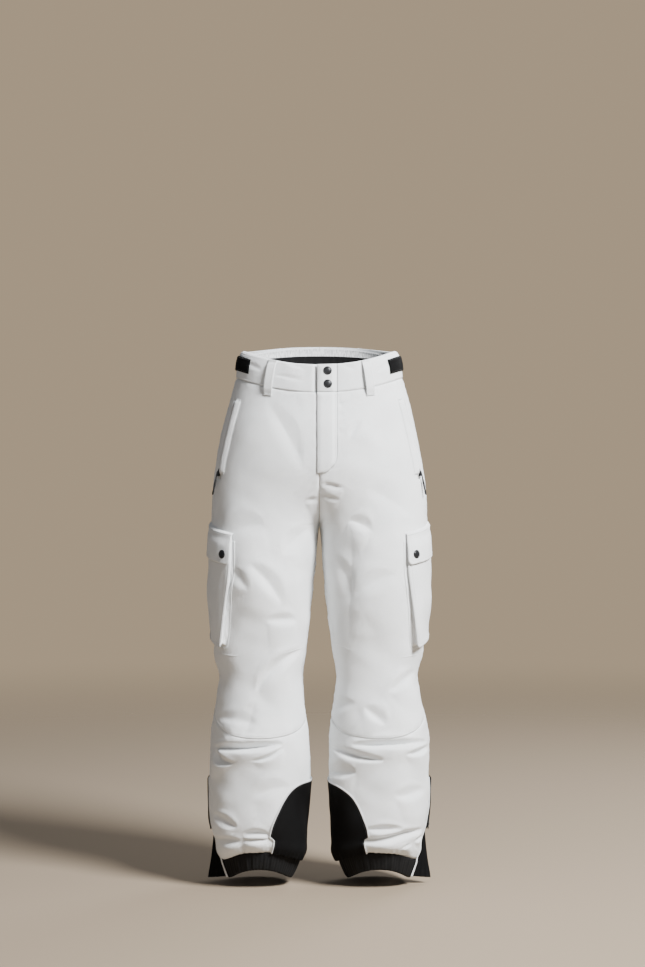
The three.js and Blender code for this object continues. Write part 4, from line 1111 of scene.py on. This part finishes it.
def pouch_bellows(label, side):
    """The pleated strip that joins the pouch's face to the leg down its sides and across its foot."""
    s, h = (line[:, None] for line in pouch_outline(0.4))
    r = row_of(25)
    centre_s, centre_h = 0.5, POUCH_FOOT + 120
    away = unit(np.concatenate([(s - centre_s) * POUCH_GIRTH * 1.6, h - centre_h], axis=1))
    room = smooth((POUCH_TOP - h) / 120)
    crumple = ripples(np.stack([s * 160 + 0 * r, h + 0 * r, 60 * r + 0 * s], axis=-1), 57 + side, 20.0)
    deep = -6.5 * np.sin(np.pi * r) ** 1.2 + 5.0 * r ** 2 + 2.0 * crumple * np.sin(np.pi * r)
    pleat = deep * (0.25 + 0.75 * room)
    s_at = s + away[:, :1] * pleat / POUCH_GIRTH
    h_at = h + away[:, 1:] * pleat
    top = pouch_lift(s, h) - 0.7
    lift = top * (1 - r) + 0.9 * r
    face = pocket_point(side, s_at, h_at, lift)
    inner_s = s_at - away[:, :1] * 1.0 / POUCH_GIRTH
    lining = pocket_point(side, inner_s, h_at - away[:, 1:] * 1.0, np.maximum(lift - 0.4, 0.2))
    place(cloth(f"cargo_bellows_{label}", face, lining, SHELL), ROOT)
    seam_s, seam_h = pouch_outline(-4.6)
    seam = swept(*surface_line(side, *pocket_uh(seam_s, seam_h), 0.35), oval(3.4, 1.3, 3, 10))
    Parts().add(seam).piece(f"cargo_base_seam_{label}", SHELL, slot="shell_white")


def flap_settle(s, h):
    """How far the flap settles below the height its snap gives it: at the fold, and away from the snap."""
    down = (FLAP_TOP - h) / FLAP_DROP
    return -FLAP_SETTLE * (1 - smooth(down / 0.5)) - 2.2 * smooth((s - 0.28) / 0.3) * smooth(down / 0.5)


def bend_flap(piece, side):
    """Takes the piece off its body and bakes its place into its mesh; the flap's sewn top line and a direction
    down from it are worked out, but nothing is turned.
    """
    s = np.linspace(0, 1, 21)
    top = pocket_point(side, s, FLAP_TOP + 0 * s, flap_lift(s, FLAP_TOP + 0 * s))
    along = unit(top[-1] - top[0])
    down = np.array([0.0, 0.0, -1.0])
    down = unit(down - along * (along @ down))
    piece.parent = None
    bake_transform(piece)


def cargo_flap(label, side):
    body = f"cargo_flap_body_{label}"
    rows = np.concatenate([[0, 0.01, 0.03], np.linspace(0.06, 1, 30)])
    h = FLAP_TOP - FLAP_DROP * (1 - rows[:, None])
    inset = corner_inset(h - FLAP_TOP + FLAP_DROP + 0.3, FLAP_CORNER) / POUCH_GIRTH
    s = -0.01 + inset + (1.02 - 2 * inset) * row_of(81)
    h = h + 0 * s
    down = (FLAP_TOP - h) / FLAP_DROP
    grid = pocket_point(side, s, h, flap_lift(s, h))
    sink, nearest = edge_tuck(grid, {"left": 0.9, "right": 0.9, "low": 0.9}, 1.5)
    wave = ripples(grid, 61 + side, 46.0) * 0.45 * smooth(nearest / 12)
    settle = flap_settle(s, h)
    move = settle + wave + 0.45 * bell(nearest - 3.4, 1.6) - sink + 0.5 * down * np.abs(2 * s - 1) ** 3
    lifts = [flap_lift(s, h) + move, flap_lift(s, h) + np.minimum(move, settle + 0.2) - FLAP_THICK + 0.2]
    flap = laid_cloth(f"cargo_flap_cloth_{label}", side, *pocket_uh(s, h), lifts, SHELL, "shell_white",
                      [f"cargo_flap_{label}"], body)
    threads = Parts()
    for inside in (2.2, 6.8):
        x, h = edge_outline(FLAP_TOP - 2, FLAP_TOP - FLAP_DROP, FLAP_CORNER, inside, 14, 8)
        s = -0.01 + 1.02 * x
        stitch_at(threads, side, *pocket_uh(s, h), flap_lift(s, h) + flap_settle(s, h) + 0.25)
    stitches = threads.piece(f"cargo_flap_stitches_{label}", THREAD, body, "shell_white")
    for piece in (flap, stitches):
        bend_flap(piece, side)
    flap_head(label, side)


def head_ease(t):
    """0 where the flap's sewn-down top is level with the flap, 1 where it lies on the leg."""
    return smooth(t) ** 2.2


def flap_head(label, side):
    """The flap's sewn-down top, which slopes from the leg to the flap's fold."""
    foot = FLAP_TOP + 0.4
    s, t = row_of(81, -0.012, 1.012), column_of(12)
    h = foot + HEAD_RISE * t + 0 * s
    us, hs = pocket_uh(s, h)
    ease = head_ease(t)
    lift = (flap_lift(s, h) - FLAP_SETTLE - 0.2) * (1 - ease) + (relief(side, us, hs) + 1.5) * ease
    laid_cloth(f"cargo_flap_head_{label}", side, us, hs, (lift - 0.7 * bell(t - 1, 0.12), lift - 1.5), SHELL,
               "shell_white")
    threads = Parts()
    s = np.linspace(0, 1, 80)
    for up in (1.2, 3.4):
        us, hs = pocket_uh(s, foot + up + 0 * s)
        ease = head_ease(up / HEAD_RISE)
        high = flap_lift(s, foot + up) - FLAP_SETTLE - 0.2
        stitch_at(threads, side, us, hs, high * (1 - ease) + (relief(side, us, hs) + 1.5) * ease + 0.15)
    threads.piece(f"cargo_flap_head_stitches_{label}", THREAD, slot="shell_white")


# ---------- snaps ----------
SNAP_DOME = [[0, 0.15], [7.2, 0.15], [7.6, 0.5], [7.6, 1.0], [7.2, 1.5], [6.6, 1.75], [6.2, 1.7], [5.9, 1.35],
             [5.6, 1.3], [5.2, 1.65], [4.2, 2.0], [2.6, 2.25], [1.2, 2.35], [0, 2.38]]


def snap_cap(name, frame_at, body, node):
    dome = lathed(rounded(np.array(SNAP_DOME) * [1.12, 1.1], 1))
    Parts().add(dome, frame_at).piece(name, SNAP, body, "snap_metal", [node])


def cargo_snap(label, side):
    u, h = CARGO_SNAP
    level = h - POCKET_TILT * (u - 0.5)
    front, back = pocket_edges(level)
    at = spot_frame(side, u, h, float(flap_lift((u - front) / (back - front), level)))
    snap_cap(f"cargo_snap_dome_{label}", at, f"cargo_flap_body_{label}", f"cargo_snap_cap_{label}")


# ---------- hand pocket ----------
def hand_pocket(label, side):
    """The welt, the zip beside it with its slider and pull, their stitches, and the bag inside."""
    name = f"hand_pocket_{label}"
    h = column_of(60, WELT_FOOT, WELT_TOP)
    s = row_of(15)
    u = welt_line(h) + share(1.0, 0.37, h) * (WELT_W * (s - 0.5) + 2.5 * s)
    sunk = relief(side, u, h)
    lip = 1.1 + 2.6 * smooth(s / 0.8) + 0.6 * np.sin(np.pi * s)
    ends = smooth((h - WELT_FOOT) / 7) * smooth((WELT_TOP - h) / 7)
    lift = sunk + 0.5 + lip * (0.35 + 0.65 * ends)
    round_off = 0.9 * (bell(s, 0.08) + bell(s - 1, 0.1))
    round_off = round_off + 0.7 * (bell(h - WELT_FOOT, 1.5) + bell(h - WELT_TOP, 1.5))
    lifts = [lift - round_off, np.maximum(lift - 2.4, sunk - 0.2)]
    laid_cloth(f"{name}_welt_lip", side, u, h, lifts, SHELL, "shell_white", [f"hand_pocket_welt_{label}"])
    base, length = straight_run(side, *pocket_zip_place())
    zip_run(name, base, length, WHITE_TAPE, WHITE_COIL, "zip_white")
    slider_and_pull(name, base, 10, 44)
    threads = Parts()
    h = np.linspace(WELT_FOOT + 2, WELT_TOP - 2, 90)
    u = welt_line(h) - share(WELT_W / 2 + 2.2, 0.37, h)
    stitch_row(threads, *surface_line(side, u, h, 0.15))
    for h_at in (WELT_FOOT - 0.5, WELT_TOP + 0.5):
        u_at = float(welt_line(h_at))
        centre, normal = surface_line(side, u_at, h_at, 0.6)
        ahead, _ = surface_line(side, u_at + 0.01, h_at, 0.6)
        bartack(threads, centre, ahead - centre, normal, 14, 2.4)
    threads.piece(f"{name}_stitches", THREAD, slot="shell_white")
    u = row_of(40, 0.22, 0.38)
    h = column_of(40, 765, 930)
    bag = ripples(lifted(side, u, h), 71, 50.0) * 1.2
    laid_cloth(f"{name}_bag_cloth", side, u, h, (-12 + bag, -14 + bag), INSIDE, "liner",
               [f"hand_pocket_bag_{label}"])


# ---------- waistband ----------
def band_levels(count):
    return (WAIST_SEAM + GAP / 2 + (WAIST_TOP - WAIST_SEAM - GAP / 2) * np.linspace(0, 1, count))[:, None]


def band_piece(name, face, lining, node, depths):
    sink, _ = edge_tuck(face, depths, 2.0)
    normal = unit(face - lining)
    place(cloth(name, face - normal * sink[..., None], lining, SHELL), ROOT, [node])


def left_band():
    """The waistband from the centre back to where the tab covers it."""
    h = band_levels(26)
    u = 1 + (front_u(FLY_STITCH + 2 * GAP, h) - 1) * row_of(170)
    h = h + 0 * u
    move = band_relief(1, u, h)
    grids = [lifted(1, u, h, move), lifted(1, u, h, np.minimum(move, 0.5) - BAND)]
    for grid in grids:
        grid[..., 0] = np.maximum(grid[..., 0], GAP)
    band_piece("waistband_left_cloth", *grids, "waistband_left", {"left": 1.0, "low": 1.3, "high": 1.5})


def right_band():
    """The waistband from the centre back to its underlap, which lies behind the tab."""
    h = band_levels(26)
    turn_x = 14.0
    u = 1 + (front_u(turn_x, h) - 1) * row_of(170)
    xs = np.linspace(-turn_x, UNDERLAP_X, 22)[None, 1:]
    rows = h + 0 * xs
    set_back = -UNDERLAP_DEPTH * (1 - smooth((-4 - xs) / 10))
    h = h + 0 * u
    calm = smooth((skin(u, h)[..., 0] - 20) / 30)
    move = band_relief(-1, u, h) * np.where(u < 0.5, calm, 1)
    main = lifted(-1, u, h, move)
    main_in = lifted(-1, u, h, np.minimum(move, 0.5) - BAND)
    for grid in (main, main_in):
        grid[..., 0] = np.where(u > 0.5, np.minimum(grid[..., 0], -GAP), grid[..., 0])
    face = np.concatenate([main, front_point(xs, rows, set_back)], axis=1)
    lining = np.concatenate([main_in, front_point(xs, rows, set_back - BAND)], axis=1)
    band_piece("waistband_right_cloth", face, lining, "waistband_right",
               {"left": 1.0, "low": 1.3, "high": 1.5, "right": 1})


def band_point(v, h, lift):
    return by_sign(lifted(1, 1 - np.abs(v), h, lift), v)


def waist_inside():
    """The brushed lining and the gripper elastic that is sewn to it."""
    lining_top = 1038
    h = column_of(40, 962, lining_top)
    start, end = -(1 - front_u(FLY_STITCH, WAIST_SEAM)), 1 - front_u(FLY_STITCH + 4, WAIST_SEAM)
    v = start + (end - start) * row_of(300) + 0 * h
    h = h + 0 * v
    wave = ripples(band_point(v, h, 0.0), 81, 34.0) * 0.35 - 0.5 * bell(h - lining_top, 3)
    face, lining = band_point(v, h, wave - 5.5), band_point(v, h, wave - 7.0)
    place(cloth("waist_lining_fleece", face, lining, FLEECE), ROOT, ["waist_lining"])
    h = column_of(14, 1000, 1024)
    v = 0.62 * row_of(240, -1, 1) + 0 * h
    h = h + 0 * v
    wave = 0.25 * np.sin(v * 260) * bell((h - 1012) / 12, 1)
    face, lining = band_point(v, h, wave - 8.0), band_point(v, h, wave - 9.3)
    place(cloth("waist_gripper_elastic", face, lining, GRIP), ROOT, ["waist_gripper"])


def belt_loop(name, side, u, node):
    base, length = straight_run(side, (u, LOOP_FOOT), (u, LOOP_TOP))
    low, high, slope, end = 1.4, LOOP_RISE - 2.8, 9.0, 4.0
    line = rounded([[0, low, 0], [0, low, end], [0, high, end + slope], [0, high + 0.8, length / 2],
                    [0, high, length - end - slope], [0, low, length - end], [0, low, length]], 3)
    parts = Parts().add(swept(line, [0, 1, 0], oval(17.6, 2.2, 6, 24)), base)
    parts.piece(name, SHELL, slot="shell_white", replaces=[node])
    threads = Parts()
    for x in (-6.0, 6.0):
        row = in_frame(base, line[3:-3] + [x, 1.05, 0])
        stitch_row(threads, row, np.broadcast_to(base[:, 1], row.shape))
    for z in (2.6, length - 2.6):
        bartack(threads, in_frame(base, [[0, low + 0.9, z]])[0], base[:, 0], base[:, 1], 15, 2.4)
    threads.piece(f"{name}_stitches", THREAD, slot="shell_white")


def adjuster_tab(label, side):
    """The hook-and-loop tab that takes in the waist."""
    s = row_of(90)
    t = column_of(18)
    u = TAB_U[0] + (TAB_U[1] - TAB_U[0]) * s
    h = TAB_H[0] + (TAB_H[1] - TAB_H[0]) * t
    u, h = np.broadcast_arrays(u, h)
    grid = lifted(side, u, h)
    sink, nearest = edge_tuck(grid, {"left": 0.8, "right": 0.5, "low": 0.8, "high": 0.8}, 1.3)
    move = band_relief(side, u, h) * 0.8
    body = f"adjuster_tab_body_{label}"
    lifts = [move + 2.9 - sink + 0.3 * bell(nearest - 3, 1.5), move + 1.2]
    laid_cloth(f"adjuster_tab_tape_{label}", side, u, h, lifts, HOOK, "guard_black",
               [f"adjuster_tab_{label}"], body)
    threads = Parts()
    for t_at in (0.1, 0.9):
        us = np.linspace(TAB_U[0] + 0.006, TAB_U[1] - 0.004, 90)
        hs = TAB_H[0] + (TAB_H[1] - TAB_H[0]) * t_at + 0 * us
        stitch_at(threads, side, us, hs, band_relief(side, us, hs) * 0.8 + 3.1)
    threads.piece(f"adjuster_tab_stitches_{label}", CORD, body, "guard_black")


def band_stitches(label, side):
    threads = Parts()
    us = np.linspace(0.06 if side < 0 else 0.1, 0.99, 260)
    for h_at in (WAIST_TOP - 4.0, WAIST_SEAM + 3.0):
        hs = h_at + 0 * us
        stitch_at(threads, side, us, hs, band_relief(side, us, hs) + 0.1)
    threads.piece(f"waistband_stitches_{label}", THREAD, slot="shell_white")


# ---------- fly ----------
def fly_lift(x):
    return FLY_LIFT * (1 - np.clip((x - FLY_PAD_X) / (FLY_STITCH - FLY_PAD_X), 0, 1))


def fly_sheet(name, rows, node, depths):
    """A leaf of the fly front over these heights, padded over the zip."""
    h = rows[:, None]
    x = FLY_EDGE + (stitch_x(h) - FLY_EDGE) * row_of(30)
    h = h + 0 * x
    grid = front_point(x, h)
    sink, nearest = edge_tuck(grid, depths, 1.9)
    puff = 1.5 * smooth(nearest / 9) * np.clip((FLY_STITCH + 2 - x) / 20, 0, 1)
    calm = ripples(grid, 91, 40.0) * 0.25
    face = front_point(x, h, fly_lift(x) + puff + calm - sink)
    lining = front_point(x, h, fly_lift(x) - 2.5)
    place(cloth(name, face, lining, SHELL), "fly_front_body", [node])


def fly():
    turned = FLY_TURNS[FLY_TURNS > FLY_FOOT + 0.4]
    rows = np.concatenate([turned, levels(FLY_FOOT + FLY_ROUND, WAIST_SEAM - GAP)[1:]])
    fly_sheet("fly_flap_cloth", rows, "fly_flap", {"left": 1.1, "right": 0.15, "low": 0.9, "high": 1.3})
    fly_sheet("waist_tab_cloth", levels(WAIST_SEAM + GAP, WAIST_TOP, 2.4), "waist_tab",
              {"left": 1.1, "right": 0.5, "low": 1.1, "high": 1.3})
    threads = Parts()
    h = np.concatenate([FLY_TURNS[3:], levels(FLY_FOOT + FLY_ROUND, WAIST_SEAM - 3)[1:]])
    x = np.maximum(stitch_x(h) - 2.4, 0)
    inside = x > 6
    line = front_point(x, h, fly_lift(x) + 0.25)[inside]
    stitch_row(threads, line, outward(front_u(x, h), h)[inside])
    h = levels(FLY_FOOT + 14, WAIST_TOP - 4)
    x = np.full_like(h, FLY_EDGE + 5.5)
    stitch_row(threads, front_point(x, h, fly_lift(x) + 0.55), outward(front_u(x, h), h))
    tack_x, tack_h = 27.0, FLY_FOOT + 15.0
    tack = front_point(tack_x, tack_h, float(fly_lift(tack_x)) + 0.6)
    bartack(threads, tack, [0.75, 0, 0.65], outward(front_u(tack_x, tack_h), tack_h), 10, 2.2)
    threads.piece("fly_stitches", THREAD, "fly_front_body", "shell_white")
    snap_u = float(front_u(WAIST_SNAP_X, WAIST_SEAM))
    for h_at, label in zip(WAIST_SNAPS, ("lower", "upper")):
        at = spot_frame(1, snap_u, h_at, float(fly_lift(WAIST_SNAP_X)) + 0.45)
        snap_cap(f"waist_snap_dome_{label}", at, "fly_front_body", f"waist_snap_cap_{label}")
    zip_u = float(front_u(FLY_ZIP_X, WAIST_SEAM))
    base, length = straight_run(1, *((zip_u, h_at) for h_at in FLY_ZIP), -8.0)
    zip_run("fly", base, length, WHITE_TAPE, PLASTIC, "zip_black")
    parts = Parts()
    at = slid(base, length - 14)
    slider_solids(parts, at, bail=False)
    parts.add(block((4.2, 1.2, 15.5), (0, 4.6, -4), 0.5), at)
    parts.piece("fly_slider_metal", SNAP, "fly_slider_body", "snap_metal", ["fly_slider"])
    z = column_of(40, 0, length - 4)
    x = row_of(22, -22, 22)
    wave = 0.5 * np.sin(z / 11 + x / 9)
    flat = np.stack(np.broadcast_arrays(x, -1.9 + wave, z + 0.0), axis=-1)
    shield = cloth("fly_shield_cloth", in_frame(base, flat), in_frame(base, flat - [0, 1.3, 0]), INSIDE)
    place(shield, ROOT, ["fly_shield"])


# ---------- everything on both sides ----------
for label, side in SIDES:
    upper_panel(f"front_panel_cloth_{label}", side, 0.0, lambda u: WAIST_SEAM + 0 * u, f"front_panel_{label}",
                fly=side > 0)
    upper_panel(f"back_panel_cloth_{label}", side, 0.5, yoke_seam, f"back_panel_{label}")
    yoke(label, side)
    lower_panel(f"shin_panel_cloth_{label}", side, 0.0, f"shin_panel_{label}")
    lower_panel(f"calf_panel_cloth_{label}", side, 0.5, f"calf_panel_{label}")
    for build in (seam_stitches, darts, ankle_guard, hem_band, gaiter, gusset, zip_guard, zip_fin, hem_zip,
                  pouch_face, pouch_bellows, cargo_flap, cargo_snap, hand_pocket):
        build(label, side)
    loop_front, loop_back = (float(front_u(x, WAIST_SEAM)) for x in LOOP_X)
    for place_name, u in (("front", loop_front), ("back", 1 - loop_back)):
        belt_loop(f"belt_loop_{place_name}_strap_{label}", side, u, f"belt_loop_{place_name}_{label}")
    adjuster_tab(label, side)
    band_stitches(label, side)
left_band()
right_band()
waist_inside()
fly()
for node in ("waist_snap_studs", "cargo_snap_stud_left", "cargo_snap_stud_right"):
    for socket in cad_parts[node].material_slots:
        socket.material = SNAP


# ---------- camera, light and floor ----------
def look_at(obj, target):
    obj.rotation_euler = (Vector(target) - obj.location).to_track_quat("-Z", "Y").to_euler()


def camera():
    data = bpy.data.cameras.new("camera")
    data.sensor_width = 36.0
    data.lens = 79.0
    data.sensor_fit = "AUTO"
    cam = bpy.data.objects.new("camera", data)
    bpy.context.collection.objects.link(cam)
    cam.location = (0.0063, -EYE[0] / 1000, (EYE[1] - WAIST_ORIGIN) / 1000)
    cam.rotation_euler = (math.pi / 2, 0, 0)
    bpy.context.scene.camera = cam


def area_light(name, location, target, size, watts):
    data = bpy.data.lights.new(name, "AREA")
    data.shape = "DISK"
    data.size = size
    data.energy = watts
    light = bpy.data.objects.new(name, data)
    bpy.context.collection.objects.link(light)
    light.location = location
    look_at(light, target)


FLOOR_TONE, FLOOR_DROP = (0.234, 0.183, 0.128), 0.012


def floor():
    """A plain floor that fades into the backdrop's tone with distance from the object."""
    bpy.ops.mesh.primitive_circle_add(vertices=96, radius=7.0, fill_type="NGON",
                                      location=(0, 0, -WAIST_ORIGIN / 1000 - FLOOR_DROP))
    ground = bpy.context.object
    ground.name = "floor"
    material, tree, shader = nodes_of("floor_paper")
    shader.inputs["Base Color"].default_value = (*FLOOR_TONE, 1)
    shader.inputs["Roughness"].default_value = 0.9
    coords = add_node(tree, "TexCoord").outputs["Object"]
    away = add_node(tree, "VectorMath", coords, operation="LENGTH").outputs["Value"]
    fade = add_node(tree, "MapRange", away, From_Min=1.2, From_Max=5.5)
    fade.interpolation_type = "SMOOTHSTEP"
    clear = add_node(tree, "BsdfTransparent").outputs["BSDF"]
    mix = add_node(tree, "MixShader", fade.outputs["Result"], shader.outputs["BSDF"], clear)
    tree.links.new(mix.outputs["Shader"], tree.nodes["Material Output"].inputs["Surface"])
    ground.data.materials.append(material)


def backdrop():
    world = bpy.data.worlds.new("studio")
    bpy.context.scene.world = world
    world.use_nodes = True
    tree = world.node_tree
    seen = tree.nodes["Background"]
    seen.inputs["Color"].default_value = (0.545, 0.425, 0.290, 1)
    seen.inputs["Strength"].default_value = 0.8
    fill = add_node(tree, "Background", (0.93, 0.95, 1.0, 1), 0.21)
    to_eye = add_node(tree, "LightPath").outputs["Is Camera Ray"]
    mix = add_node(tree, "MixShader", to_eye, fill.outputs["Background"], seen.outputs["Background"])
    tree.links.new(mix.outputs["Shader"], tree.nodes["World Output"].inputs["Surface"])


camera()
area_light("key", (2.5, -2.6, 2.5), (0, 0, -0.45), 1.6, 860)
area_light("fill", (-0.6, -4.0, 0.4), (0, 0, -0.5), 2.4, 14)
area_light("back_rim", (1.6, 2.4, 1.4), (0, 0, -0.4), 1.4, 60)
floor()
backdrop()
